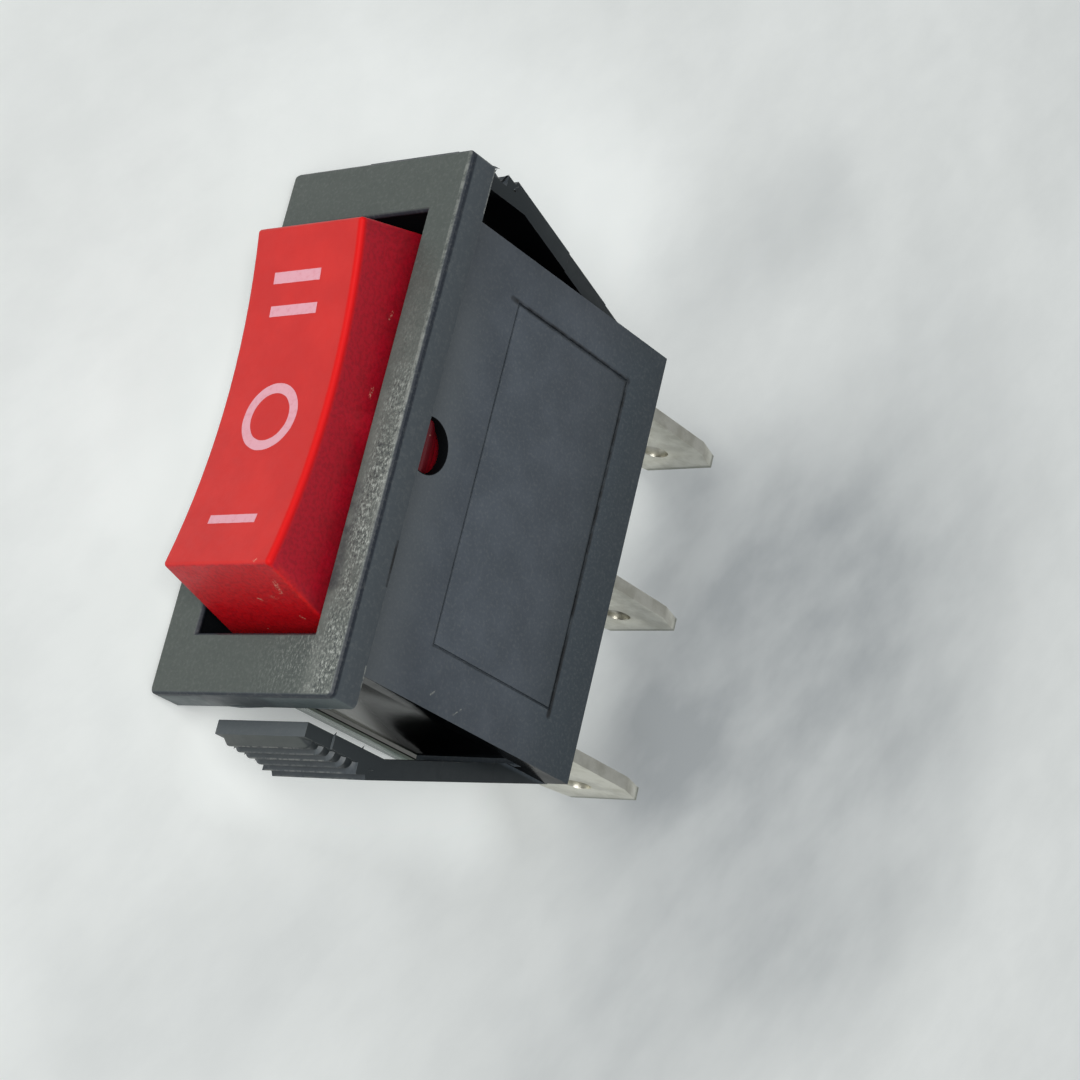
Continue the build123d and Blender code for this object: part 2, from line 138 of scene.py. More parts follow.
# ---------------------------------------------------------------- node graphs
class Graph:
    """A surface material under construction: one principled shader and what feeds it."""

    def __init__(self, name: str) -> None:
        """Start an empty material.

        Args:
            name: The material's name.
        """
        self.material = bpy.data.materials.new(name)
        self.material.use_nodes = True
        self.tree = self.material.node_tree
        self.tree.nodes.clear()
        self.shader = self.add("ShaderNodeBsdfPrincipled")
        self.output = self.add("ShaderNodeOutputMaterial")
        self.join(self.shader.outputs["BSDF"], self.output.inputs["Surface"])
        coords = self.add("ShaderNodeTexCoord")
        self.place = coords.outputs["Object"]
        self.facing = coords.outputs["Normal"]

    def add(self, kind: str, **settings: object) -> bpy.types.Node:
        """Add a node.

        Args:
            kind: The node's Blender type.
            **settings: Attributes of the node to set.

        Returns:
            The new node.
        """
        node = self.tree.nodes.new(kind)
        for key, value in settings.items():
            setattr(node, key, value)
        return node

    def join(self, source: bpy.types.NodeSocket, target: bpy.types.NodeSocket) -> None:
        """Link two sockets."""
        self.tree.links.new(source, target)

    def feed(self, target: bpy.types.NodeSocket, value: object) -> None:
        """Give a socket a link or a plain value.

        Args:
            target: The input socket.
            value: An output socket, a number or a colour.
        """
        if isinstance(value, bpy.types.NodeSocket):
            self.join(value, target)
        elif isinstance(value, (tuple, list)) and target.type == "RGBA" and len(value) == 3:
            target.default_value = (*value, 1.0)
        else:
            target.default_value = value

    def sum(self, operation: str, *terms: object, clamp: bool = False) -> bpy.types.NodeSocket:
        """Do arithmetic on numbers.

        Args:
            operation: The math node's operation.
            *terms: Its inputs in order.
            clamp: Keep the result between 0 and 1.

        Returns:
            The result.
        """
        node = self.add("ShaderNodeMath", operation=operation, use_clamp=clamp)
        for socket, term in zip(node.inputs, terms):
            self.feed(socket, term)
        return node.outputs[0]

    def ramp(
        self, value: object, low: float, high: float, to_low: float = 0.0, to_high: float = 1.0
    ) -> bpy.types.NodeSocket:
        """Ease a number from one range into another.

        Args:
            value: The number.
            low: Start of its range.
            high: End of its range.
            to_low: What the start becomes.
            to_high: What the end becomes.

        Returns:
            The eased number, kept inside the new range.
        """
        node = self.add("ShaderNodeMapRange", interpolation_type="SMOOTHSTEP")
        terms = {"Value": value, "From Min": low, "From Max": high, "To Min": to_low, "To Max": to_high}
        for name, term in terms.items():
            self.feed(node.inputs[name], term)
        return node.outputs["Result"]

    def between(self, mask: object, none: float, full: float) -> bpy.types.NodeSocket:
        """A number that eases from none where a mask is 0 to full where it is 1."""
        return self.ramp(mask, 0, 1, none, full)

    def stretched(self, factors: Sequence[float]) -> bpy.types.NodeSocket:
        """The place on the object, for grain that runs one way.

        Args:
            factors: How many times finer the grain is along each axis.

        Returns:
            The place to read a texture at.
        """
        node = self.add("ShaderNodeMapping")
        self.join(self.place, node.inputs["Vector"])
        node.inputs["Scale"].default_value = factors
        return node.outputs["Vector"]

    def drawn(self, lengths: Sequence[float], turn: float) -> bpy.types.NodeSocket:
        """The place on the object, for grain that is drawn out along turned axes.

        Args:
            lengths: How many times longer the grain is along each axis.
            turn: Turn of the axes about X, in degrees.

        Returns:
            The place to read a texture at.
        """
        node = self.add("ShaderNodeMapping", vector_type="TEXTURE")
        self.join(self.place, node.inputs["Vector"])
        node.inputs["Rotation"].default_value = (math.radians(turn), 0, 0)
        node.inputs["Scale"].default_value = lengths
        return node.outputs["Vector"]

    def noise(
        self, grain: float, detail: float = 3.0, rough: float = 0.55, at: object = None
    ) -> bpy.types.NodeSocket:
        """Cloudy noise.

        Args:
            grain: Size of its coarsest patches, in millimetres.
            detail: How many finer layers it has.
            rough: How strong the finer layers are.
            at: Where to read it, or None for the place on the object.

        Returns:
            A number from 0 to 1.
        """
        node = self.add("ShaderNodeTexNoise")
        self.join(at or self.place, node.inputs["Vector"])
        node.inputs["Scale"].default_value = 1 / (grain * MM)
        node.inputs["Detail"].default_value = detail
        node.inputs["Roughness"].default_value = rough
        return node.outputs["Fac"]

    def clouds(self, clouds: Clouds, at: object = None) -> bpy.types.NodeSocket:
        """Cloudy noise eased into a share.

        Args:
            clouds: Its grain and the range that is eased.
            at: Where to read it, or None for the place on the object.

        Returns:
            The share.
        """
        noise = self.noise(clouds.grain, clouds.detail, clouds.rough, at)
        return self.ramp(noise, clouds.low, clouds.high, clouds.least, clouds.most)

    def specks(self, pitch: float, size: float, share: float) -> bpy.types.NodeSocket:
        """Scattered round dots.

        Args:
            pitch: Average distance between places for a dot, in millimetres.
            size: A dot's radius as a share of the pitch.
            share: How many of the places hold one, from 0 to 1.

        Returns:
            1 on a dot, 0 elsewhere.
        """
        smallest = 0.35  # of the largest radius
        node = self.add("ShaderNodeTexVoronoi")
        self.join(self.place, node.inputs["Vector"])
        node.inputs["Scale"].default_value = 1 / (pitch * MM)
        split = self.add("ShaderNodeSeparateColor")
        self.join(node.outputs["Color"], split.inputs["Color"])
        chosen = self.sum("LESS_THAN", split.outputs["Red"], share)
        radius = self.sum("MULTIPLY", self.between(split.outputs["Green"], smallest, 1.0), size)
        near = self.sum("LESS_THAN", node.outputs["Distance"], radius)
        return self.sum("MULTIPLY", chosen, near)

    def spot(self, centre: Sequence[float], radius: float) -> bpy.types.NodeSocket:
        """A soft round patch.

        Args:
            centre: Its middle, in millimetres in the object's frame.
            radius: Its radius, in millimetres.

        Returns:
            1 at its middle, easing to 0 at its rim.
        """
        node = self.add("ShaderNodeVectorMath", operation="DISTANCE")
        self.join(self.place, node.inputs[0])
        node.inputs[1].default_value = [c * MM for c in centre]
        return self.ramp(node.outputs["Value"], 0, radius * MM, 1.0, 0.0)

    def stroke(
        self, start: Sequence[float], end: Sequence[float], width: float, core: float = 0.3
    ) -> bpy.types.NodeSocket:
        """A soft straight line, such as a scratch.

        Args:
            start: One end, in millimetres in the object's frame.
            end: The other end.
            width: Distance from the line at which it has faded, in millimetres.
            core: Share of the width over which it stays full.

        Returns:
            1 on the line, easing to 0.
        """
        origin = Vector(start) * MM
        run = Vector(end) * MM - origin
        rel = self.add("ShaderNodeVectorMath", operation="SUBTRACT")
        self.join(self.place, rel.inputs[0])
        rel.inputs[1].default_value = origin
        share = self.add("ShaderNodeVectorMath", operation="DOT_PRODUCT")
        self.join(rel.outputs["Vector"], share.inputs[0])
        share.inputs[1].default_value = run / run.length_squared
        foot = self.add("ShaderNodeVectorMath", operation="SCALE")
        foot.inputs[0].default_value = run
        self.join(self.sum("MULTIPLY", share.outputs["Value"], 1.0, clamp=True), foot.inputs["Scale"])
        gap = self.add("ShaderNodeVectorMath", operation="DISTANCE")
        self.join(rel.outputs["Vector"], gap.inputs[0])
        self.join(foot.outputs["Vector"], gap.inputs[1])
        return self.ramp(gap.outputs["Value"], core * width * MM, width * MM, 1.0, 0.0)

    def edges(self, radius: float, onset: float = 0.02, full: float = 0.25) -> bpy.types.NodeSocket:
        """How near a sharp edge the surface is.

        Args:
            radius: How far the edge's influence reaches, in millimetres.
            onset: Turn of the surface at which it starts to count.
            full: Turn at which it counts wholly.

        Returns:
            A number from 0 to 1.
        """
        bevel = self.add("ShaderNodeBevel", samples=BEVEL_SAMPLES)
        bevel.inputs["Radius"].default_value = radius * MM
        plain = self.add("ShaderNodeNewGeometry").outputs["Normal"]
        turn = self.add("ShaderNodeVectorMath", operation="DOT_PRODUCT")
        self.join(bevel.outputs["Normal"], turn.inputs[0])
        self.join(plain, turn.inputs[1])
        return self.ramp(self.sum("SUBTRACT", 1.0, turn.outputs["Value"]), onset, full)

    def toward(self, axis: Axis, low: float, high: float) -> bpy.types.NodeSocket:
        """How much the surface faces along an axis.

        Args:
            axis: The axis.
            low: Share of the normal along it at which the result is 0.
            high: Share at which the result is 1.

        Returns:
            A number from 0 to 1.
        """
        split = self.add("ShaderNodeSeparateXYZ")
        self.join(self.facing, split.inputs["Vector"])
        return self.ramp(split.outputs[axis.value], low, high)

    def along(self, axis: Axis, low: float, high: float) -> bpy.types.NodeSocket:
        """A soft border across an axis.

        Args:
            axis: The axis.
            low: Where the result is 0, in millimetres.
            high: Where it is 1.

        Returns:
            A number from 0 to 1.
        """
        split = self.add("ShaderNodeSeparateXYZ")
        self.join(self.place, split.inputs["Vector"])
        return self.ramp(split.outputs[axis.value], low * MM, high * MM)

    def reach(self, direction: Sequence[float]) -> bpy.types.NodeSocket:
        """How far the place lies along a slanting direction.

        Args:
            direction: The direction, of length 1.

        Returns:
            The distance from the origin, in metres.
        """
        node = self.add("ShaderNodeVectorMath", operation="DOT_PRODUCT")
        self.join(self.place, node.inputs[0])
        node.inputs[1].default_value = direction
        return node.outputs["Value"]

    def region(self, borders: Sequence[tuple]) -> bpy.types.NodeSocket:
        """A part of the object between soft borders.

        Args:
            borders: For each border its axis, where it starts and where the region is full.

        Returns:
            1 inside all of them, 0 outside.
        """
        return self.times(*(self.along(*border) for border in borders))

    def fold(self, operation: str, terms: Sequence[object]) -> bpy.types.NodeSocket:
        """Do one operation on several numbers in turn.

        Args:
            operation: The math node's operation.
            terms: The numbers.

        Returns:
            The result.
        """
        result = terms[0]
        for term in terms[1:]:
            result = self.sum(operation, result, term)
        return result

    def times(self, *masks: object) -> bpy.types.NodeSocket:
        """The product of several numbers."""
        return self.fold("MULTIPLY", masks)

    def most(self, *masks: object) -> bpy.types.NodeSocket:
        """The greatest of several numbers."""
        return self.fold("MAXIMUM", masks)

    def either(self, *masks: object) -> bpy.types.NodeSocket:
        """Several masks laid over one another, with soft seams."""
        left = self.times(*(self.sum("SUBTRACT", 1.0, mask) for mask in masks))
        return self.sum("SUBTRACT", 1.0, left)

    def blend(self, factor: object, under: object, over: object) -> bpy.types.NodeSocket:
        """Mix two colours.

        Args:
            factor: Share of the second, from 0 to 1.
            under: The first colour.
            over: The second colour.

        Returns:
            The mixed colour.
        """
        node = self.add("ShaderNodeMix", data_type="RGBA")
        self.feed(node.inputs["Factor"], factor)
        self.feed(node.inputs[MIX_UNDER], under)
        self.feed(node.inputs[MIX_OVER], over)
        return node.outputs[MIX_RESULT]

    def bump(self, height: object, depth: float) -> bpy.types.NodeSocket:
        """Raise the surface by a height map.

        Args:
            height: The map, from 0 to 1.
            depth: Height of a full step, in millimetres.

        Returns:
            The bumped normal.
        """
        node = self.add("ShaderNodeBump")
        node.inputs["Strength"].default_value = 1.0
        node.inputs["Distance"].default_value = depth * MM
        self.feed(node.inputs["Height"], height)
        return node.outputs["Normal"]

    def finish(
        self, colour: object, roughness: object, normal: bpy.types.NodeSocket, **sockets: object
    ) -> bpy.types.Material:
        """Feed the principled shader.

        Args:
            colour: The base colour.
            roughness: The roughness.
            normal: A bumped normal.
            **sockets: Other inputs by name, with underscores for spaces.

        Returns:
            The finished material.
        """
        self.feed(self.shader.inputs["Base Color"], colour)
        self.feed(self.shader.inputs["Roughness"], roughness)
        self.join(normal, self.shader.inputs["Normal"])
        for name, value in sockets.items():
            self.feed(self.shader.inputs[name.replace("_", " ")], value)
        return self.material


# ---------------------------------------------------------------- finishes
@dataclass(frozen=True)
class BlackNylon:
    """Black nylon: leathery flange, finer walls, hollows in painted shade, rubbed edges with painted
    highlights, painted light and reflections on the lower end wall, and dust.

    Borders and regions are what Graph.along and Graph.region take, strokes what Graph.stroke takes and
    noises what Graph.noise takes.
    """

    # colours
    wall: tuple = (0.078, 0.093, 0.113)
    wall_deep: tuple = (0.061, 0.074, 0.091)
    # painted light: the walls near the flange, paler than their own tone
    wall_painted_light: tuple = (0.120, 0.137, 0.150)
    flange_side: tuple = (0.060, 0.073, 0.084)
    # painted light: the flange's lower end face, paler than its sides, as if lit from the sheet below
    flange_end: tuple = (0.078, 0.102, 0.106)
    # painted shade: the walls towards the rear
    wall_painted_shade: tuple = (0.036, 0.049, 0.060)
    flange: tuple = (0.069, 0.081, 0.074)
    # dark navy: pits in the flange's grain and a smudge, and painted shade on the rim and beside the rocker
    bevel: tuple = (0.008, 0.013, 0.022)
    strip: tuple = (0.150, 0.163, 0.149)
    # painted shade: the snap wings darker than the walls, less so on the tip's outer face (wing_tip)
    wing: tuple = (0.013, 0.018, 0.020)
    wing_tip: tuple = (0.062, 0.070, 0.068)
    # painted light: the sheet's reflection on the lower end wall near the flange
    lit_end: tuple = (0.40, 0.40, 0.355)
    # painted reflection: the lower end wall's ledge beside the recess
    ledge: tuple = (0.17, 0.235, 0.19)
    # painted reflection on the recess's cheek; lit_cheek is painted light nearer the wall, past a line of
    # painted shade
    cheek: tuple = (0.38, 0.44, 0.38)
    lit_cheek: tuple = (0.60, 0.60, 0.58)
    # pale: grain, scratches and rubbed edges, and painted highlights on edges and crests
    rub_and_highlight: tuple = (0.30, 0.31, 0.29)
    # painted glints on the flange's worn front
    glint: tuple = (0.42, 0.44, 0.41)
    dust: tuple = (0.62, 0.60, 0.54)
    # painted shade: near black, for the hollows, the end walls and the score lines
    shade: tuple = (0.0012, 0.0014, 0.0018)

    # the walls: painted light near the flange, painted shade towards the rear
    wall_clouds: Clouds = Clouds(2.6, 4, 0.35, 0.7)
    near_flange: tuple = (Axis.Z, -5.5, -1.0)
    toward_foot: tuple = (Axis.Y, 12.5, 5.0)
    paler_at_head: float = 0.4  # share of the painted light that is left at the +Y end
    flange_starts: tuple = (Axis.Z, -0.15, 0.05)
    toward_rear: tuple = (Axis.Z, -12.0, -19.0)

    # the flange
    front_skin: tuple = (Axis.Z, 1.85, 1.95)
    front_fades: tuple = (0.0, 0.6)  # of the front's mask, over which the sides' marks end
    beside_rocker: tuple = ((Axis.X, 4.0, 5.0), (Axis.Y, 12.0, -2.0))
    beside_clouds: Clouds = Clouds(1.1, 3, 0.25, 0.7, 0.4, 0.95)
    # where the painted glints go: the worn strip beside the rocker and the flange's foot
    glint_strip: tuple = ((Axis.X, 4.7, 5.6), (Axis.Y, 9.0, -4.0))
    glint_foot: tuple = ((Axis.X, -0.5, 5.4), (Axis.Y, -11.0, -13.0))
    foot_strength: float = 0.5
    glint_clouds: Clouds = Clouds(2.2, 3, 0.32, 0.58, 0.25, 1.0)
    fibre_noise: tuple = (0.13, 3, 0.7)
    fibre_stretch: tuple = (1.0, 0.5, 1.0)
    fibre_glints: tuple = (0.51, 0.64)  # noise from which a fibre shows a painted glint
    fibre_pits: tuple = (0.50, 0.34)  # noise from which it shows dark
    glint_strength: float = 0.9
    pit_strengths: tuple = (0.12, 0.85)  # away from the glints and among them
    # painted shade on the flange's front beside the lower part of the rocker
    shade_beside_rocker: tuple = ((4.5, -4.0, 1.96), (4.6, -9.2, 1.96), 0.9)
    shade_beside_rocker_clouds: Clouds = Clouds(1.2, 3, 0.3, 0.6)
    shade_beside_rocker_strength: float = 0.6
    # the flange's lower end face, in painted light
    end_face: tuple = ((Axis.Y, -15.40, -15.46), (Axis.Z, 0.0, 0.1))
    # painted shade: a dark band round the flange's front rim
    rim: tuple = (Axis.Z, 1.50, 1.66)
    rim_strength: float = 0.95
    # the flange's rubbed front edge: wear with a painted highlight
    brink: tuple = (*slab(Axis.X, 6.36, 6.64, 0.08), (Axis.Z, 1.84, 1.9), (Axis.Y, -13.0, 0.0))
    brink_clouds: Clouds = Clouds(0.6, 4, 0.36, 0.6, rough=0.7)
    brink_strength: float = 0.55
    smudge: tuple = ((-2.6, -15.5, 1.1), (0.6, -15.5, 0.9), 1.2)
    smudge_strength: float = 0.6

    # the end walls: painted light, painted reflections and painted shade
    low_end: tuple = (*slab(Axis.Y, -13.2, -12.6, 0.02), (Axis.Z, 0.0, -0.1))
    high_end: tuple = (*slab(Axis.Y, 12.6, 13.2, 0.02), (Axis.Z, 0.0, -0.1))
    high_end_strength: float = 0.9
    lit_way: tuple = (0.886, 0.0, -0.463)  # along it the painted light on the lower end wall dies away
    lit_span: tuple = (1.2, 3.9)  # mm along that way, from full painted light to painted shade
    ledge_starts: tuple = (Axis.X, -3.9, -4.0)
    cheek_side: tuple = slab(Axis.X, -4.1, -3.9, 0.02)
    cheek_outer: tuple = (Axis.Y, -12.96, -12.99)
    cheek_inner: tuple = (Axis.Y, -12.91, -12.88)

    # the wings: painted shade, and painted highlights on the teeth's crests
    low_wing: tuple = (Axis.Y, -13.2, -13.4)
    high_wing: tuple = (Axis.Y, 13.2, 13.4)
    under_flange: tuple = (Axis.Z, -0.1, -0.2)
    wing_strengths: tuple = (0.95, 0.45)  # painted shade on its sides and on its faces that look up
    tip_region: tuple = ((Axis.Y, -16.9, -16.95), *slab(Axis.Z, -1.02, -0.2, 0.1))
    tip_facing: tuple = (-0.5, -0.8)
    crests: tuple = (0.25, 0.4, 0.2, 0.5, 0.25, 0.5)  # how strong the painted highlight on each tooth's crest is, the wing's tip last
    crest_span: tuple = (-3.2, 2.6)  # mm along X
    crest_width: float = 0.12  # mm
    crest_clouds: Clouds = Clouds(0.35, 3, 0.36, 0.6, rough=0.7)

    # where painted shade fills the hollows
    cavity: tuple = (*slab(Axis.X, -4.6, 4.6, 0.1), *slab(Axis.Y, -12.3, 12.3, 0.1), (Axis.Z, 1.9, 1.6))
    pivot_z: float = -1.98  # mm
    bore_rim: tuple = (1.57, 1.62)  # mm from the pivot
    wing_back: tuple = ((Axis.Y, 13.0, 13.2), (Axis.Z, -1.8, -4.5))
    wing_back_facing: tuple = (-0.4, -0.8)
    hollow_strength: float = 0.96

    # wear
    grain_noise: tuple = (0.20, 4, 0.62)
    grain_show: tuple = (0.46, 0.72)  # noise over which the grain shows paler
    grain_strength: float = 0.11
    grain_in_shade: float = 0.1
    # rubbed edges, with a painted highlight
    edge_reach: float = 0.10  # mm
    edge_clouds: Clouds = Clouds(0.5, 4, 0.45, 0.66, rough=0.7)
    edge_strength: float = 0.35
    scratches: tuple = (
        ((5.02, -12.0, -7.1), (5.02, -12.3, -6.8), 0.07),
        ((5.02, -12.2, -9.4), (5.02, -12.7, -8.9), 0.05),
        ((6.7, -13.2, 0.06), (6.7, -14.6, 0.0), 0.06),
        ((6.7, 15.3, 0.02), (6.7, 12.6, 0.02), 0.09),
        ((0.3, -15.5, 1.5), (0.2, -15.5, 1.2), 0.06),
    )
    scratch_clouds: Clouds = Clouds(0.18, 3, 0.38, 0.55, rough=0.7)
    scratch_strength: float = 0.8
    scores: tuple = (  # start, end and width of each line of painted shade, and how dark it is
        ((5.02, 10.36, -5.5), (5.02, 10.33, -16.5), 0.24, 0.85),
        ((5.02, -9.76, -6.1), (5.02, -9.76, -11.0), 0.12, 0.4),
        ((5.02, -9.8, -6.1), (5.02, 10.3, -6.1), 0.12, 0.6),
        ((5.02, -10.1, -16.42), (5.02, 10.4, -16.37), 0.25, 0.85),
        # painted shadow along the flange's back edge
        ((6.7, -6.4, 0.10), (6.7, -8.8, 0.05), 0.15, 0.9),
    )
    score_clouds: Clouds = Clouds(0.8, 3, 0.32, 0.6, 0.35, 1.0, rough=0.6)
    flake_streak: tuple = ((4.25, 0.75, 1.9), (4.42, 1.75, 1.9), 0.26)
    flake_spot: tuple = ((4.3, 10.45, 1.9), 0.3)
    flake_clouds: Clouds = Clouds(0.16, 3, 0.50, 0.56, rough=0.75)

    # the surface
    roughness: Clouds = Clouds(0.9, 3, 0.3, 0.7, 0.44, 0.56)
    end_polish: float = 0.3  # the lower end wall's roughness against the rest
    relief: float = 0.014  # mm
    relief_shares: tuple = (0.3, 1.3)  # on the walls and on the flange's front
    gloss: tuple = (0.5, 0.02)  # of the rest and of the hollows
    gloss_unlit: float = 0.1  # share of it on the dark part of the lower end wall
    gloss_lit: float = 2.0  # share of it on the lit part

    def walls(self, g: Graph) -> bpy.types.NodeSocket:
        """Base colour of the walls: cloudy, with painted light near the flange and painted shade towards
        the rear.

        Args:
            g: The graph.

        Returns:
            The colour.
        """
        colour = g.blend(g.clouds(self.wall_clouds), self.wall_deep, self.wall)
        fading = g.between(g.along(*self.toward_foot), self.paler_at_head, 1.0)
        colour = g.blend(g.times(g.along(*self.near_flange), fading), colour, self.wall_painted_light)
        colour = g.blend(g.along(*self.flange_starts), colour, self.flange_side)
        return g.blend(g.along(*self.toward_rear), colour, self.wall_painted_shade)

    def front(self, g: Graph, colour: object, facing: object) -> bpy.types.NodeSocket:
        """The flange's front face: painted glints in the worn strip beside the rocker and along its foot,
        dark pits among them, and painted shade beside the rocker.

        Args:
            g: The graph.
            colour: Colour of the rest.
            facing: 1 on the front face.

        Returns:
            The colour.
        """
        colour = g.blend(facing, colour, self.flange)
        beside = g.times(facing, g.region(self.beside_rocker), g.clouds(self.beside_clouds))
        colour = g.blend(beside, colour, self.strip)
        foot = g.times(g.region(self.glint_foot), self.foot_strength)
        worn_glint_zone = g.times(facing, g.most(g.region(self.glint_strip), foot), g.clouds(self.glint_clouds))
        fibres = g.noise(*self.fibre_noise, g.stretched(self.fibre_stretch))
        # painted glints on the worn fibres
        glints = g.times(worn_glint_zone, g.ramp(fibres, *self.fibre_glints), self.glint_strength)
        colour = g.blend(glints, colour, self.glint)
        pits = g.times(g.between(worn_glint_zone, *self.pit_strengths), facing, g.ramp(fibres, *self.fibre_pits))
        colour = g.blend(pits, colour, self.bevel)
        # painted shade beside the rocker
        shaded = g.times(facing, g.stroke(*self.shade_beside_rocker), g.clouds(self.shade_beside_rocker_clouds))
        return g.blend(g.times(shaded, self.shade_beside_rocker_strength), colour, self.bevel)

    def flange_edges(self, g: Graph, colour: object, facing: object) -> bpy.types.NodeSocket:
        """The flange's lower end face in painted light, the dark line of painted shade round its rim and
        the rubbed front edge with a painted highlight.

        Args:
            g: The graph.
            colour: Colour of the rest.
            facing: 1 on the front face.

        Returns:
            The colour.
        """
        off_front = g.ramp(facing, *self.front_fades, 1.0, 0.0)
        colour = g.blend(g.times(g.region(self.end_face), off_front), colour, self.flange_end)
        colour = g.blend(g.times(g.along(*self.rim), off_front, self.rim_strength), colour, self.bevel)
        brink = g.times(g.region(self.brink), g.clouds(self.brink_clouds), self.brink_strength)
        return g.blend(brink, colour, self.rub_and_highlight)

    def ends(self, g: Graph, colour: object, low_wall: object, lit: object) -> bpy.types.NodeSocket:
        """The end walls: the lower one in painted light near the flange, painted reflections on its ledge
        and the recess's cheek, painted shade beyond, and the upper one in painted shade.

        Args:
            g: The graph.
            colour: Colour of the rest.
            low_wall: 1 on the end wall at -Y.
            lit: 1 where that wall catches light.

        Returns:
            The colour.
        """
        face = g.blend(lit, self.shade, self.lit_end)
        colour = g.blend(low_wall, colour, g.blend(g.along(*self.ledge_starts), face, self.ledge))
        # painted reflection, painted shade and painted light on the recess's cheek
        cheek = g.times(g.toward(Axis.X, *FACING), g.region(self.cheek_side), g.region(self.low_end))
        inner = g.blend(g.along(*self.cheek_inner), self.shade, self.lit_cheek)
        colour = g.blend(cheek, colour, g.blend(g.along(*self.cheek_outer), inner, self.cheek))
        # painted shade on the upper end wall
        dark = g.times(g.toward(Axis.Y, *FACING), g.region(self.high_end), self.high_end_strength)
        return g.blend(dark, colour, self.shade)

    def wings(self, g: Graph, colour: object, facing: object) -> bpy.types.NodeSocket:
        """The snap wings in painted shade, darker than the walls and less so on faces that look up, with
        painted highlights on the crests of their teeth.

        Args:
            g: The graph.
            colour: Colour of the rest.
            facing: 1 where the surface faces +Z.

        Returns:
            The colour.
        """
        out = g.most(g.along(*self.high_wing), g.along(*self.low_wing))
        strength = g.between(facing, *self.wing_strengths)
        colour = g.blend(g.times(out, g.along(*self.under_flange), strength), colour, self.wing)
        tip = g.times(g.region(self.tip_region), g.toward(Axis.Y, *self.tip_facing))
        colour = g.blend(tip, colour, self.wing_tip)
        left, right = self.crest_span
        crests = []
        for tooth, strength in enumerate(self.crests):
            y, z = TEETH.crest(tooth)
            crests.append(g.times(g.stroke((left, y, z), (right, y, z), self.crest_width), strength))
        return g.blend(g.times(g.most(*crests), g.clouds(self.crest_clouds)), colour, self.rub_and_highlight)

    def hollows(self, g: Graph) -> bpy.types.NodeSocket:
        """Where shade is painted: the cavity, the trunnion holes and behind the upper wing.

        Args:
            g: The graph.

        Returns:
            1 in the hollows, 0 elsewhere.
        """
        across = g.add("ShaderNodeVectorMath", operation="MULTIPLY")
        g.join(g.place, across.inputs[0])
        across.inputs[1].default_value = (0, 1, 1)
        hole = g.add("ShaderNodeVectorMath", operation="DISTANCE")
        g.join(across.outputs["Vector"], hole.inputs[0])
        hole.inputs[1].default_value = (0, 0, self.pivot_z * MM)
        bore = g.ramp(hole.outputs["Value"], *(radius * MM for radius in self.bore_rim), 1.0, 0.0)
        behind = g.times(g.toward(Axis.Y, *self.wing_back_facing), g.region(self.wing_back))
        return g.most(g.region(self.cavity), bore, behind)

    def wear(self, g: Graph, colour: object) -> bpy.types.NodeSocket:
        """Rubbed edges with painted highlights, scratches, score lines in painted shade and flakes.

        Args:
            g: The graph.
            colour: Colour under them.

        Returns:
            The colour.
        """
        rubbed_and_highlit = g.times(g.edges(self.edge_reach), g.clouds(self.edge_clouds), self.edge_strength)
        colour = g.blend(rubbed_and_highlit, colour, self.rub_and_highlight)
        marks = g.most(*(g.stroke(*scratch) for scratch in self.scratches))
        marks = g.times(marks, g.clouds(self.scratch_clouds), self.scratch_strength)
        colour = g.blend(marks, colour, self.rub_and_highlight)
        patchy = g.clouds(self.score_clouds)
        # painted shade in the score grooves
        for start, end, width, strength in self.scores:
            colour = g.blend(g.times(g.stroke(start, end, width), patchy, strength), colour, self.shade)
        flakes = g.most(g.stroke(*self.flake_streak), g.spot(*self.flake_spot))
        return g.blend(g.times(flakes, g.clouds(self.flake_clouds)), colour, self.dust)

    def material(self) -> bpy.types.Material:
        """Put the finish together.

        Returns:
            The finished material.
        """
        g = Graph(BLACK_SLOT)
        facing = g.toward(Axis.Z, *FACING)
        flange_front = g.times(facing, g.along(*self.front_skin))
        faces_low = g.toward(Axis.Y, *AVERTED)
        low_wall = g.times(faces_low, g.region(self.low_end))
        # painted light on the lower end wall, fading to painted shade
        lit = g.ramp(g.reach(self.lit_way), *(way * MM for way in self.lit_span), 1.0, 0.0)
        unlit = g.times(low_wall, g.between(lit, 1.0, 0.0))
        colour = self.front(g, self.walls(g), flange_front)
        colour = self.flange_edges(g, colour, flange_front)
        colour = self.ends(g, colour, low_wall, lit)
        grain = g.noise(*self.grain_noise)
        shown = g.ramp(grain, *self.grain_show, 0.0, self.grain_strength)
        colour = g.blend(g.times(shown, g.between(unlit, 1.0, self.grain_in_shade)), colour, self.rub_and_highlight)
        colour = self.wear(g, self.wings(g, colour, facing))
        hollow = self.hollows(g)
        # painted shade in the hollows
        colour = g.blend(g.times(hollow, self.hollow_strength), colour, self.shade)
        smudge = g.times(faces_low, g.stroke(*self.smudge), self.smudge_strength)
        colour = g.blend(smudge, colour, self.bevel)
        rough = g.times(g.clouds(self.roughness), g.between(low_wall, 1.0, self.end_polish))
        gloss = g.times(g.between(hollow, *self.gloss), g.between(unlit, 1.0, self.gloss_unlit))
        gloss = g.times(gloss, g.between(g.times(low_wall, lit), 1.0, self.gloss_lit))
        relief = g.times(grain, g.between(flange_front, *self.relief_shares))
        return g.finish(colour, rough, g.bump(relief, self.relief), Specular_IOR_Level=gloss)


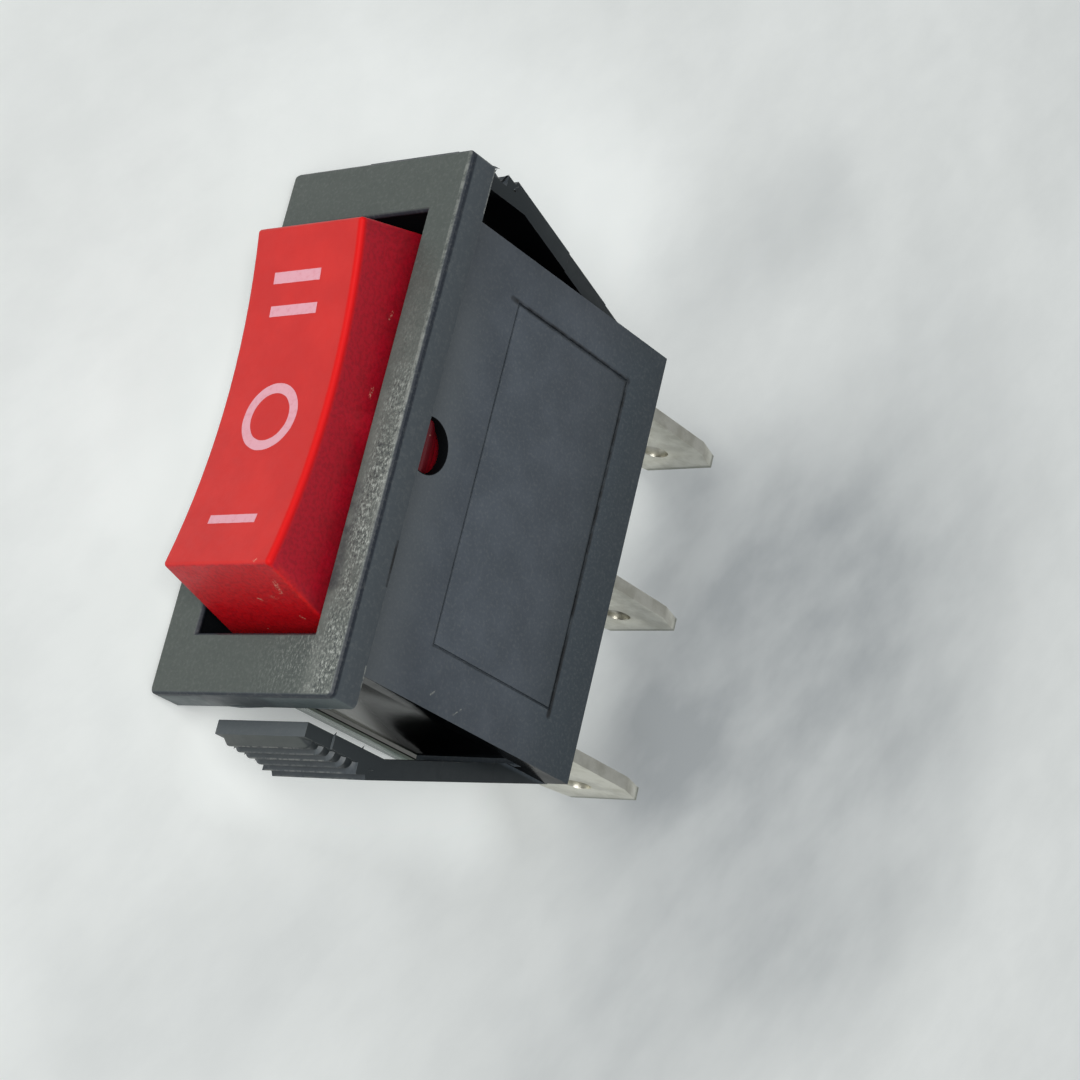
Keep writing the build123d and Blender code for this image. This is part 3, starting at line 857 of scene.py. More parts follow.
@dataclass(frozen=True)
class RedPlastic:
    """Satin red moulding with a little depth to it, dusty at its lower end, with painted shade on its sides
    and painted highlights on its ridge and corner.
    """

    # colours
    face: tuple = (0.66, 0.024, 0.020)
    deep: tuple = (0.59, 0.019, 0.017)
    # painted shade: the flanks and ends are darker copies of the top's red, the flanks darkest and deepest
    # near the flange
    side: tuple = (0.44, 0.004, 0.018)
    side_low: tuple = (0.34, 0.006, 0.016)
    end: tuple = (0.62, 0.004, 0.010)
    # painted highlight: the ridge along the top's edge
    ridge: tuple = (0.74, 0.012, 0.012)
    # painted highlight: a streak near the rocker's lower corner
    glow: tuple = (0.74, 0.022, 0.012)
    # dark red: mottling, and painted shade on the trunnion's end
    mottle_and_shade: tuple = (0.10, 0.001, 0.006)
    chalk: tuple = (0.80, 0.45, 0.32)

    # the top and its ridges, with a painted highlight along the ridge
    upright: tuple = (0.55, 0.9)  # shares of the normal from which a face counts as the top or a flank
    face_clouds: Clouds = Clouds(3.2, 4, 0.35, 0.7)
    crown: float = 4.78  # mm, height of the ridge at its middle
    hollow: float = 0.01129  # 1/mm, how fast the ridge rises with the square of the distance
    ridge_depth: tuple = (0.15, 0.5)  # mm below the ridge, from full strength to none
    ridge_starts: tuple = (Axis.X, 3.50, 3.74)
    ridge_strength: float = 0.85

    # the sides: painted shade, deeper near the flange
    low_part: tuple = (Axis.Z, 3.8, 2.2)
    low_clouds: Clouds = Clouds(1.4, 3, 0.35, 0.65)
    mottle_clouds: Clouds = Clouds(0.22, 3, 0.40, 0.66, rough=0.6)
    mottle_strength: float = 0.3
    # painted highlight near the lower corner
    corner: tuple = ((3.9, -10.0, 5.0), (3.95, -11.2, 2.0), 0.6)
    corner_clouds: Clouds = Clouds(0.6, 3, 0.3, 0.6)
    corner_strength: float = 0.35
    # painted shade on the trunnion's end
    trunnion_starts: tuple = (Axis.X, 4.35, 4.5)
    trunnion_strength: float = 0.75

    # dust and scuffs
    flank_specks: tuple = (0.36, 0.12, 0.5)
    flank_dust: tuple = (Axis.Z, 3.6, 2.3)
    flank_clouds: Clouds = Clouds(1.8, 2, 0.45, 0.6)
    motes: tuple = (0.8, 0.07, 0.35)
    scuffs: tuple = (
        ((3.05, -10.2, 4.3), (2.7, -10.45, 3.4), 0.22),
        ((0.7, -10.6, 2.9), (1.0, -10.6, 2.7), 0.15),
        ((1.6, -10.6, 3.2), (2.1, -10.6, 2.9), 0.16),
        ((2.5, -11.0, 1.4), (2.6, -11.0, 1.2), 0.12),
        ((3.92, 6.0, 2.0), (3.92, 5.6, 2.1), 0.12),
        ((3.92, 1.1, 2.0), (3.92, 1.6, 2.0), 0.16),
        ((2.7, -9.75, 5.95), (2.9, -9.6, 5.8), 0.14),
    )
    scuff_clouds: Clouds = Clouds(0.14, 3, 0.50, 0.58, rough=0.75)
    dust_strength: float = 0.6

    # the surface
    roughness: Clouds = Clouds(0.6, 3, 0.3, 0.7, 0.40, 0.50)
    relief: float = 0.006  # mm
    relief_noise: tuple = (0.16, 3, 0.6)  # as Graph.noise takes it
    gloss: tuple = (0.45, 0.08)  # of the rest and of the ridges
    depth: float = 0.3  # mm that light gets into it
    depth_tint: tuple = (1.0, 0.06, 0.05)
    depth_weight: float = 0.08

    def sides(self, g: Graph, flank: object) -> bpy.types.NodeSocket:
        """Colour of the flanks and ends: painted shade, darker on the flanks than on the ends and deeper
        near the flange; mottled; a painted highlight at the corner.

        Args:
            g: The graph.
            flank: 1 where the surface faces +X or -X.

        Returns:
            The colour.
        """
        low = g.times(g.along(*self.low_part), g.clouds(self.low_clouds))
        colour = g.blend(flank, self.end, g.blend(low, self.side, self.side_low))
        colour = g.blend(g.times(g.clouds(self.mottle_clouds), self.mottle_strength), colour, self.mottle_and_shade)
        corner = g.times(g.stroke(*self.corner), g.clouds(self.corner_clouds), self.corner_strength)
        return g.blend(corner, colour, self.glow)

    def ridges(self, g: Graph) -> bpy.types.NodeSocket:
        """Where the top meets the flank that faces +X.

        Args:
            g: The graph.

        Returns:
            1 on the ridge, easing to 0 below it.
        """
        split = g.add("ShaderNodeSeparateXYZ")
        g.join(g.place, split.inputs["Vector"])
        square = g.sum("MULTIPLY", split.outputs["Y"], split.outputs["Y"])
        height = g.sum("MULTIPLY_ADD", square, self.hollow / MM, self.crown * MM)
        below = g.sum("SUBTRACT", height, split.outputs["Z"])
        fading = g.ramp(below, *(depth * MM for depth in self.ridge_depth), 1.0, 0.0)
        return g.times(fading, g.along(*self.ridge_starts))

    def material(self) -> bpy.types.Material:
        """Put the finish together.

        Returns:
            The finished material.
        """
        g = Graph(RED_SLOT)
        low, high = self.upright
        top = g.toward(Axis.Z, low, high)
        flank = g.most(g.toward(Axis.X, low, high), g.toward(Axis.X, -low, -high))
        face = g.blend(g.clouds(self.face_clouds), self.deep, self.face)
        colour = g.blend(top, self.sides(g, flank), face)
        ridge = self.ridges(g)
        # painted highlight along the ridge
        colour = g.blend(g.times(ridge, self.ridge_strength), colour, self.ridge)
        # painted shade on the trunnion's end
        trunnion = g.times(g.along(*self.trunnion_starts), self.trunnion_strength)
        colour = g.blend(trunnion, colour, self.mottle_and_shade)
        dusty = g.times(g.along(*self.flank_dust), g.clouds(self.flank_clouds))
        dusty = g.times(g.specks(*self.flank_specks), flank, dusty)
        motes = g.most(g.times(g.specks(*self.motes), g.sum("SUBTRACT", 1.0, top)), dusty)
        scuffs = g.most(*(g.stroke(*scuff) for scuff in self.scuffs))
        scuffs = g.times(scuffs, g.clouds(self.scuff_clouds))
        colour = g.blend(g.times(g.most(motes, scuffs), self.dust_strength), colour, self.chalk)
        height = g.sum("ADD", g.noise(*self.relief_noise), scuffs)
        return g.finish(
            colour,
            g.clouds(self.roughness),
            g.bump(height, self.relief),
            Specular_IOR_Level=g.between(ridge, *self.gloss),
            Subsurface_Weight=self.depth_weight,
            Subsurface_Radius=self.depth_tint,
            Subsurface_Scale=self.depth * MM,
        )


@dataclass(frozen=True)
class PadPrint:
    """Pinkish-white ink, thin enough for the red to show through."""

    ink: tuple = (0.80, 0.40, 0.47)
    thin: tuple = (0.68, 0.22, 0.26)
    thinness: Clouds = Clouds(0.25, 4, 0.45, 0.75, rough=0.7)
    thin_strength: float = 0.5
    roughness: tuple = (0.45, 0.6)  # where it is thick and where it is thin
    relief: float = 0.004  # mm
    relief_noise: tuple = (0.12, 3)  # as Graph.noise takes it

    def material(self) -> bpy.types.Material:
        """Put the finish together.

        Returns:
            The finished material.
        """
        g = Graph("pad_print")
        thinner = g.clouds(self.thinness)
        colour = g.blend(g.times(thinner, self.thin_strength), self.ink, self.thin)
        return g.finish(
            colour, g.between(thinner, *self.roughness), g.bump(g.noise(*self.relief_noise), self.relief)
        )


@dataclass(frozen=True)
class PlatedSheet:
    """Rolled strip or drawn wire with a dull plating."""

    name: str
    bright: tuple
    dull: tuple
    roughness: tuple = (0.28, 0.42)  # least and most
    stretch: tuple = ALONG_Z
    # painted shade along the blades' tip edge
    tip_shade: tuple = (0.25, 0.26, 0.20)
    tip_shade_strength: float = 0.0  # how dark the painted shade along a blade's tip edge is
    tip: tuple = (Axis.Z, -28.35, -28.65)
    dulling: Clouds = Clouds(1.2, 4, 0.35, 0.7)
    streak_noise: tuple = (0.1, 3, 0.6)  # as Graph.noise takes it
    streak_show: tuple = (0.3, 0.7)  # noise over which the roughness changes
    # painted highlight along the edges
    edge_reach: float = 0.1  # mm
    edge_strength: float = 0.4
    relief: float = 0.003  # mm

    def material(self) -> bpy.types.Material:
        """Put the finish together.

        Returns:
            The finished material.
        """
        g = Graph(self.name)
        streaks = g.noise(*self.streak_noise, g.stretched(self.stretch))
        colour = g.blend(g.clouds(self.dulling), self.bright, self.dull)
        colour = g.blend(g.times(g.edges(self.edge_reach), self.edge_strength), colour, self.bright)
        # painted shade along the tip edge
        colour = g.blend(g.times(g.along(*self.tip), self.tip_shade_strength), colour, self.tip_shade)
        rough = g.ramp(streaks, *self.streak_show, *self.roughness)
        return g.finish(colour, rough, g.bump(streaks, self.relief), Metallic=1.0)


class Metal(Enum):
    """The metals of the switch, each with its finish."""

    TINNED_BRASS = PlatedSheet("tinned_brass", (0.80, 0.78, 0.69), (0.62, 0.60, 0.51), tip_shade_strength=0.8)
    SPRING_STEEL = PlatedSheet("spring_steel", (0.55, 0.55, 0.56), (0.40, 0.40, 0.41), (0.2, 0.35), EVEN)
    COPPER_STRIP = PlatedSheet("copper_strip", (0.72, 0.42, 0.26), (0.50, 0.26, 0.15), (0.25, 0.4), ALONG_Y)
    CONTACT_ALLOY = PlatedSheet("contact_alloy", (0.80, 0.79, 0.76), (0.60, 0.59, 0.56), (0.2, 0.34), EVEN)


@dataclass(frozen=True)
class NaturalNylon:
    """Milky unpigmented nylon."""

    face: tuple = (0.74, 0.73, 0.66)
    deep: tuple = (0.62, 0.60, 0.52)
    clouding: Clouds = Clouds(1.5, 4, 0.35, 0.7)
    roughness: Clouds = Clouds(0.4, 3, 0.3, 0.7, 0.4, 0.55)
    relief: float = 0.004  # mm
    relief_grain: float = 0.15  # mm

    def material(self) -> bpy.types.Material:
        """Put the finish together.

        Returns:
            The finished material.
        """
        g = Graph("white_nylon")
        colour = g.blend(g.clouds(self.clouding), self.face, self.deep)
        return g.finish(colour, g.clouds(self.roughness), g.bump(g.noise(self.relief_grain), self.relief))


# ---------------------------------------------------------------- mesh helpers
def dress(obj: bpy.types.Object, material: bpy.types.Material) -> None:
    """Give every part of an object one material.

    Args:
        obj: The object.
        material: The material.
    """
    if not obj.material_slots:
        obj.data.materials.append(material)
    for place in obj.material_slots:
        place.material = material


def link_mesh(name: str, bm: bmesh.types.BMesh) -> bpy.types.Object:
    """Turn a bmesh into an object of the scene.

    Args:
        name: The piece's name.
        bm: The mesh, which is freed.

    Returns:
        The new object.
    """
    mesh = bpy.data.meshes.new(name)
    bm.to_mesh(mesh)
    bm.free()
    obj = bpy.data.objects.new(name, mesh)
    bpy.context.scene.collection.objects.link(obj)
    return obj


@dataclass(frozen=True)
class Burr:
    """A sliver of flash that stands on a moulding's edge, bent over at its tip."""

    root: tuple  # mm
    tip: tuple  # mm
    width: float  # mm, at its root
    sag: tuple = (0.0, 0.0, 0.0)  # mm, how far its middle is bent aside
    sides: int = 5
    rings: int = 4
    unevenness: float = 0.35  # of its radius
    lumps: float = 4  # 1/mm, how often its radius changes

    def add_to(self, bm: bmesh.types.BMesh) -> None:
        """Add the sliver to a mesh as a bent cone.

        Args:
            bm: The mesh.
        """
        root, tip, sag = Vector(self.root), Vector(self.tip), Vector(self.sag)
        turn = (tip - root).to_track_quat("Z", "Y")
        loops = []
        for ring in range(self.rings):
            share = ring / self.rings
            middle = root.lerp(tip, share) + sag * math.sin(math.pi * share)
            lump = 1 + self.unevenness * fractal.noise(middle * self.lumps)
            radius = self.width / 2 * (1 - share) * lump
            angles = [2 * math.pi * side / self.sides for side in range(self.sides)]
            spokes = [turn @ Vector((math.cos(angle), math.sin(angle), 0)) for angle in angles]
            loops.append([bm.verts.new((middle + spoke * radius) * MM) for spoke in spokes])
        point = bm.verts.new(tip * MM)
        bm.faces.new(list(reversed(loops[0])))
        for side in range(self.sides):
            after = (side + 1) % self.sides
            for low, high in zip(loops, loops[1:]):
                bm.faces.new((low[side], low[after], high[after], high[side]))
            bm.faces.new((loops[-1][side], loops[-1][after], point))


@dataclass
class SoftenedCopy:
    """A copy of a moulded or stamped CAD node with its sharp edges rounded off."""

    node: str
    name: str
    edge: float  # mm, width of the rounding
    segments: int = 2
    sharp: float = 35.0  # degrees, the least turn of a sharp edge
    flat: float = 0.5  # degrees, the most turn between faces that are joined
    weld: float = 0.0005  # mm
    burrs: Sequence[Burr] = ()

    def is_sharp(self, edge: bmesh.types.BMEdge) -> bool:
        """Whether two faces meet at an edge with more than the least turn."""
        return len(edge.link_faces) == 2 and edge.calc_face_angle(0) > math.radians(self.sharp)

    def build(self) -> bpy.types.Object:
        """Make the copy.

        Returns:
            The new piece, standing for the CAD node.
        """
        source = frame["nodes"][self.node]
        bm = bmesh.new()
        bm.from_mesh(source.data)
        bmesh.ops.remove_doubles(bm, verts=bm.verts, dist=self.weld * MM)
        bmesh.ops.dissolve_limit(
            bm,
            angle_limit=math.radians(self.flat),
            verts=bm.verts,
            edges=bm.edges,
            use_dissolve_boundaries=False,
        )
        bmesh.ops.bevel(
            bm,
            geom=[edge for edge in bm.edges if self.is_sharp(edge)],
            offset=self.edge * MM,
            offset_type="OFFSET",
            segments=self.segments,
            profile=0.5,
            affect="EDGES",
            clamp_overlap=True,
            harden_normals=False,
        )
        for burr in self.burrs:
            burr.add_to(bm)
        for face in bm.faces:
            face.smooth = True
        for edge in bm.edges:
            edge.smooth = not self.is_sharp(edge)
        piece = link_mesh(self.name, bm)
        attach(piece, source["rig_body"])
        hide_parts(self.node)
        return piece


# ---------------------------------------------------------------- sub-assemblies
@dataclass
class Rocker:
    """The red rocker and the marks printed on its concave top."""

    crown: float = 4.78  # mm, height of the top at its middle
    end_height: float = 5.86  # mm, height of the top at its ends
    half_length: float = 9.78  # mm
    edge: float = 0.04  # mm
    lift: float = 0.012  # mm, how far the ink stands off the plastic
    weld: float = 0.0001  # mm
    bar_length: float = 3.43  # mm
    bars: tuple = (  # name, middle (x, y) and width, mm
        ("mark_ii_upper", -0.4, 6.9, 0.64),
        ("mark_ii_lower", -0.28, 5.03, 0.6),
        ("mark_i", -0.16, -7.08, 0.5),
    )
    bar_steps: tuple = (40, 5)  # along and across
    bar_waver: float = 0.018  # mm
    bar_ripples: tuple = (9, 2)  # how often the waver changes along and across
    ring_centre: tuple = (-0.1, -1.08)  # (x, y), mm
    ring_outer: float = 1.94  # mm
    ring_inner: float = 1.37  # mm
    ring_steps: tuple = (96, 4)  # round and across
    ring_waver: float = 0.015  # mm
    ring_ripples: float = 3  # how often the waver changes round it

    def surface(self, y: float) -> float:
        """Height of the concave top.

        Args:
            y: Distance along the rocker, in millimetres.

        Returns:
            The height, in millimetres.
        """
        rise = self.end_height - self.crown
        radius = (self.half_length**2 + rise**2) / (2 * rise)
        return self.crown + radius - math.sqrt(radius**2 - y**2)

    def film(self, name: str, rows: list) -> bpy.types.Object:
        """Lay a thin film of ink on the top.

        Args:
            name: The piece's name.
            rows: Lines of (x, y) points in millimetres, all of one length.

        Returns:
            The printed mark.
        """
        bm = bmesh.new()
        grid = []
        for row in rows:
            points = [(x * MM, y * MM, (self.surface(y) + self.lift) * MM) for x, y in row]
            grid.append([bm.verts.new(point) for point in points])
        for near, far in zip(grid, grid[1:]):
            for i in range(len(near) - 1):
                bm.faces.new((near[i], near[i + 1], far[i + 1], far[i]))
        bmesh.ops.remove_doubles(bm, verts=bm.verts, dist=self.weld * MM)
        bmesh.ops.recalc_face_normals(bm, faces=bm.faces)
        rim = bmesh.ops.extrude_face_region(bm, geom=bm.faces[:])
        sunk = [v for v in rim["geom"] if isinstance(v, bmesh.types.BMVert)]
        bmesh.ops.translate(bm, verts=sunk, vec=(0, 0, -2 * self.lift * MM))
        bmesh.ops.recalc_face_normals(bm, faces=bm.faces)
        return link_mesh(name, bm)

    def bar(self, name: str, middle_x: float, middle_y: float, width: float) -> bpy.types.Object:
        """Print one bar across the rocker.

        Args:
            name: The piece's name.
            middle_x: Its middle across the rocker, in millimetres.
            middle_y: Its middle along the rocker.
            width: Its width along the rocker.

        Returns:
            The printed bar.
        """
        steps, lines = self.bar_steps
        along, across = self.bar_ripples
        rows = []
        for line in range(lines + 1):
            v = line / lines - 0.5
            row = []
            for step in range(steps + 1):
                u = step / steps - 0.5
                waver = self.bar_waver * fractal.noise(Vector((u * along, v * across, middle_y)))
                row.append((middle_x + u * self.bar_length, middle_y + v * (width + waver)))
            rows.append(row)
        return self.film(name, rows)

    def ring(self) -> bpy.types.Object:
        """Print the ring at the middle of the rocker.

        Returns:
            The printed ring.
        """
        turns, lines = self.ring_steps
        x, y = self.ring_centre
        rows = []
        for line in range(lines + 1):
            row = []
            for turn in range(turns + 1):
                angle = 2 * math.pi * (turn % turns) / turns
                radius = self.ring_inner + (self.ring_outer - self.ring_inner) * line / lines
                across, along = math.cos(angle), math.sin(angle)
                ripple = Vector((across * self.ring_ripples, along * self.ring_ripples, line))
                radius += self.ring_waver * fractal.noise(ripple)
                row.append((x + radius * across, y + radius * along))
            rows.append(row)
        return self.film("mark_o", rows)

    def build(self) -> list:
        """Build and dress the rocker's pieces.

        Returns:
            The pieces.
        """
        body = SoftenedCopy("rocker", "rocker_moulding", self.edge).build()
        body.visible_diffuse = False  # its red would tint the sheet
        dress(body, RedPlastic().material())
        ink = PadPrint().material()
        marks = [self.bar(*bar) for bar in self.bars] + [self.ring()]
        for mark in marks:
            dress(mark, ink)
            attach(mark, "rocker")
        return [body, *marks]


@dataclass
class Housing:
    """The black moulding: flange, body and snap wings."""

    edge: float = 0.06  # mm
    wing_side: float = 3.12  # mm, where the burrs at the teeth's ends are rooted
    burr_reach: tuple = (0.52, 0.16)  # mm, their usual reach and how much it varies
    burr_width: float = 0.3  # mm
    burr_back: tuple = (0.48, 0.28)  # mm behind the crest, its root and its tip
    burr_drop: float = 0.3  # mm, how far its tip hangs below its root
    burr_spacing: float = 3.7  # between neighbours, in the noise that varies their reach
    flash: tuple = (
        Burr((3.2, -16.2, -2.45), (3.4, -15.94, -2.38), 0.16),
        Burr((3.25, -16.2, -4.6), (3.5, -15.94, -4.5), 0.18),
        Burr((3.35, -17.1, -5.3), (3.62, -17.0, -5.5), 0.2),
        Burr((3.0, 17.0, -3.4), (3.6, 17.35, -3.2), 0.32),
        Burr((2.95, 17.1, -4.3), (3.65, 17.5, -4.2), 0.36, (0.0, 0.08, 0.0)),
        Burr((3.4, 17.0, -5.1), (3.65, 17.3, -5.2), 0.24),
        Burr((6.55, 15.3, 0.12), (6.68, 15.48, -0.35), 0.26, (0.0, 0.0, 0.1)),
        Burr((-2.4, -15.40, 0.08), (0.8, -15.46, 0.06), 0.30, (0.0, -0.04, -0.10)),
        Burr((5.2, -15.40, 0.08), (3.2, -15.46, 0.06), 0.24, (0.0, -0.04, -0.06)),
    )

    def tooth_burr(self, tooth: int) -> Burr:
        """The burr at a tooth's end, bent down and towards the body.

        Args:
            tooth: The tooth's number, from the lowest.

        Returns:
            The burr.
        """
        y, z = TEETH.crest(tooth)
        usual, spread = self.burr_reach
        reach = usual + spread * fractal.noise(Vector((tooth * self.burr_spacing, 1.0, 0.0)))
        root_back, tip_back = self.burr_back
        root = (-self.wing_side, y + root_back, z)
        return Burr(root, (root[0] - reach, y + tip_back, z - self.burr_drop), self.burr_width)

    def build(self) -> list:
        """Build and dress the housing.

        Returns:
            The pieces.
        """
        burrs = [*(self.tooth_burr(tooth) for tooth in range(TEETH.count)), *self.flash]
        shell = SoftenedCopy("housing", "housing_moulding", self.edge, burrs=burrs).build()
        dress(shell, BlackNylon().material())
        return [shell]


@dataclass
class Terminals:
    """The three blade terminals."""

    nodes: tuple = ("end_terminal_i", "common_terminal", "end_terminal_ii")
    edge: float = 0.06  # mm

    def build(self) -> list:
        """Build and dress the terminals.

        Returns:
            The pieces.
        """
        plating = Metal.TINNED_BRASS.value.material()
        pieces = []
        for node in self.nodes:
            blade = SoftenedCopy(node, node + "_strip", self.edge).build()
            dress(blade, plating)
            pieces.append(blade)
        return pieces


@dataclass
class Works:
    """What the housing hides: spring, plunger, bridge and contacts."""

    contacts: tuple = ("moving_contact_i", "moving_contact_ii", "fixed_contact_i", "fixed_contact_ii")

    def build(self) -> list:
        """Dress the hidden pieces.

        Returns:
            The pieces.
        """
        nodes = frame["nodes"]
        dress(nodes["plunger"], NaturalNylon().material())
        dress(nodes["spring"], Metal.SPRING_STEEL.value.material())
        dress(nodes["contact_bridge"], Metal.COPPER_STRIP.value.material())
        alloy = Metal.CONTACT_ALLOY.value.material()
        contacts = [nodes[name] for name in self.contacts]
        for contact in contacts:
            dress(contact, alloy)
        return [nodes["plunger"], nodes["spring"], nodes["contact_bridge"], *contacts]


# ---------------------------------------------------------------- studio
@dataclass(frozen=True)
class Viewpoint:
    """Where the camera stands and which way it looks, in the object's frame."""

    place: tuple = (106.270, -48.876, 99.450)  # mm
    forward: tuple = (-0.64017, 0.30130, -0.70669)
    up: tuple = (0.02139, 0.92651, 0.37565)
    lens: float = 95.022  # mm
    sensor: float = 36.0  # mm
    near: float = 0.005  # m
    far: float = 10.0  # m


@dataclass(frozen=True)
class Shade:
    """A soft long patch of painted shadow on the sheet, or of painted light."""

    start: tuple  # (y, z), mm
    end: tuple
    width: float  # mm
    strength: float


@dataclass(frozen=True)
class SoftLamp:
    """A soft square lamp that faces the switch."""

    name: str
    towards: tuple  # direction from the switch to the lamp
    distance: float  # m
    size: float  # m, its side
    power: float  # W
    tint: tuple

    def hang(self) -> None:
        """Add the lamp to the scene."""
        data = bpy.data.lights.new(self.name, "AREA")
        data.shape = "SQUARE"
        data.size = self.size
        data.energy = self.power
        data.color = self.tint
        lamp = bpy.data.objects.new(self.name, data)
        away = Vector(self.towards).normalized()
        lamp.location = away * self.distance
        lamp.rotation_euler = away.to_track_quat("Z", "Y").to_euler()
        bpy.context.scene.collection.objects.link(lamp)


@dataclass(frozen=True)
class Surroundings:
    """Pale light from all round, and what the camera sees past the floor."""

    tint: tuple = (0.93, 0.97, 1.0)
    strength: float = 0.35
    backdrop: tuple = (0.80, 0.83, 0.82)

    def background(self, tree: bpy.types.NodeTree, colour: tuple, strength: float) -> bpy.types.NodeSocket:
        """Add a plain background shader.

        Args:
            tree: The world's nodes.
            colour: Its colour.
            strength: Its strength.

        Returns:
            The shader.
        """
        node = tree.nodes.new("ShaderNodeBackground")
        node.inputs["Color"].default_value = (*colour, 1)
        node.inputs["Strength"].default_value = strength
        return node.outputs[0]

    def build(self) -> None:
        """Give the scene its world."""
        world = bpy.data.worlds.new("surroundings")
        world.use_nodes = True
        tree = world.node_tree
        tree.nodes.clear()
        path = tree.nodes.new("ShaderNodeLightPath")
        mix = tree.nodes.new("ShaderNodeMixShader")
        output = tree.nodes.new("ShaderNodeOutputWorld")
        tree.links.new(path.outputs["Is Camera Ray"], mix.inputs[0])
        tree.links.new(self.background(tree, self.tint, self.strength), mix.inputs[1])
        tree.links.new(self.background(tree, self.backdrop, 1.0), mix.inputs[2])
        tree.links.new(mix.outputs[0], output.inputs["Surface"])
        bpy.context.scene.world = world


@dataclass(frozen=True)
class Paper:
    """Matt pale paper with soft patches of painted shadow and painted light, clear when it is looked at
    from behind.
    """

    pale: tuple = (0.84, 0.86, 0.85)
    cloudy: tuple = (0.78, 0.80, 0.79)
    # painted shadow on the paper, and its darker fibres
    dark: tuple = (0.348, 0.370, 0.386)
    dirt: tuple = (0.10, 0.11, 0.11)
    drift: float = -38.0  # degrees about X, the way its ripples run
    drift_stretch: tuple = (1.0, 2.2, 1.0)
    ripples: Clouds = Clouds(12, 4, 0.3, 0.7)
    streaks: Clouds = Clouds(8, 5, 0.30, 0.70, 0.68, 1.15)
    fibres: Clouds = Clouds(2.2, 4, 0.3, 0.7, 0.0, 0.06, rough=0.65)
    specks: tuple = (11, 0.028, 0.3)
    speck_clouds: Clouds = Clouds(0.3, 3, 0.42, 0.55)
    speck_strength: float = 0.5
    roughness: float = 0.8
    gloss: float = 0.1
    wave_noise: tuple = (14.0, 2)  # as Graph.noise takes it
    relief: float = 0.4  # mm
    glow: float = 0.08  # what the pale surroundings add where it is looked at
    glow_tint: tuple = (0.96, 1.0, 0.98)

    def material(self, shades: Sequence[tuple], halos: Sequence[tuple]) -> bpy.types.Material:
        """Put the finish together.

        Args:
            shades: Where shadow is painted on the paper: start, end, width and strength of each patch.
            halos: Where painted light is added.

        Returns:
            The finished material.
        """
        g = Graph("paper")
        drawn = g.drawn(self.drift_stretch, self.drift)
        colour = g.blend(g.clouds(self.ripples, drawn), self.pale, self.cloudy)
        # painted shadow on the paper
        shaded = g.either(*(self.patch(g, *shade) for shade in shades))
        shaded = g.sum("MULTIPLY", shaded, g.clouds(self.streaks, drawn), clamp=True)
        colour = g.blend(shaded, colour, self.dark)
        colour = g.blend(g.clouds(self.fibres, drawn), colour, self.dark)
        dirt = g.times(g.specks(*self.specks), g.clouds(self.speck_clouds), self.speck_strength)
        colour = g.blend(dirt, colour, self.dirt)
        relief = g.bump(g.noise(*self.wave_noise), self.relief)
        g.finish(colour, self.roughness, relief, Specular_IOR_Level=self.gloss)
        path = g.add("ShaderNodeLightPath")
        seen = g.most(path.outputs["Is Camera Ray"], path.outputs["Is Glossy Ray"])
        # the halos add painted light to the paper's glow
        glow = g.sum("ADD", g.most(*(self.patch(g, *halo) for halo in halos)), self.glow)
        g.feed(g.shader.inputs["Emission Color"], self.glow_tint)
        g.feed(g.shader.inputs["Emission Strength"], g.times(seen, glow))
        clear = g.add("ShaderNodeBsdfTransparent")
        mix = g.add("ShaderNodeMixShader")
        g.join(g.add("ShaderNodeNewGeometry").outputs["Backfacing"], mix.inputs[0])
        g.join(g.shader.outputs["BSDF"], mix.inputs[1])
        g.join(clear.outputs["BSDF"], mix.inputs[2])
        g.join(mix.outputs["Shader"], g.output.inputs["Surface"])
        return g.material

    def patch(
        self, g: Graph, start: Sequence[float], end: Sequence[float], width: float, strength: float
    ) -> bpy.types.NodeSocket:
        """A soft long patch of the paper.

        Args:
            g: The graph.
            start: One end of the line it lies along, in millimetres.
            end: The other end.
            width: Distance from the line at which it has faded, in millimetres.
            strength: Its strength on the line.

        Returns:
            How strong it is at a place.
        """
        return g.times(g.stroke(start, end, width, core=0.0), strength)


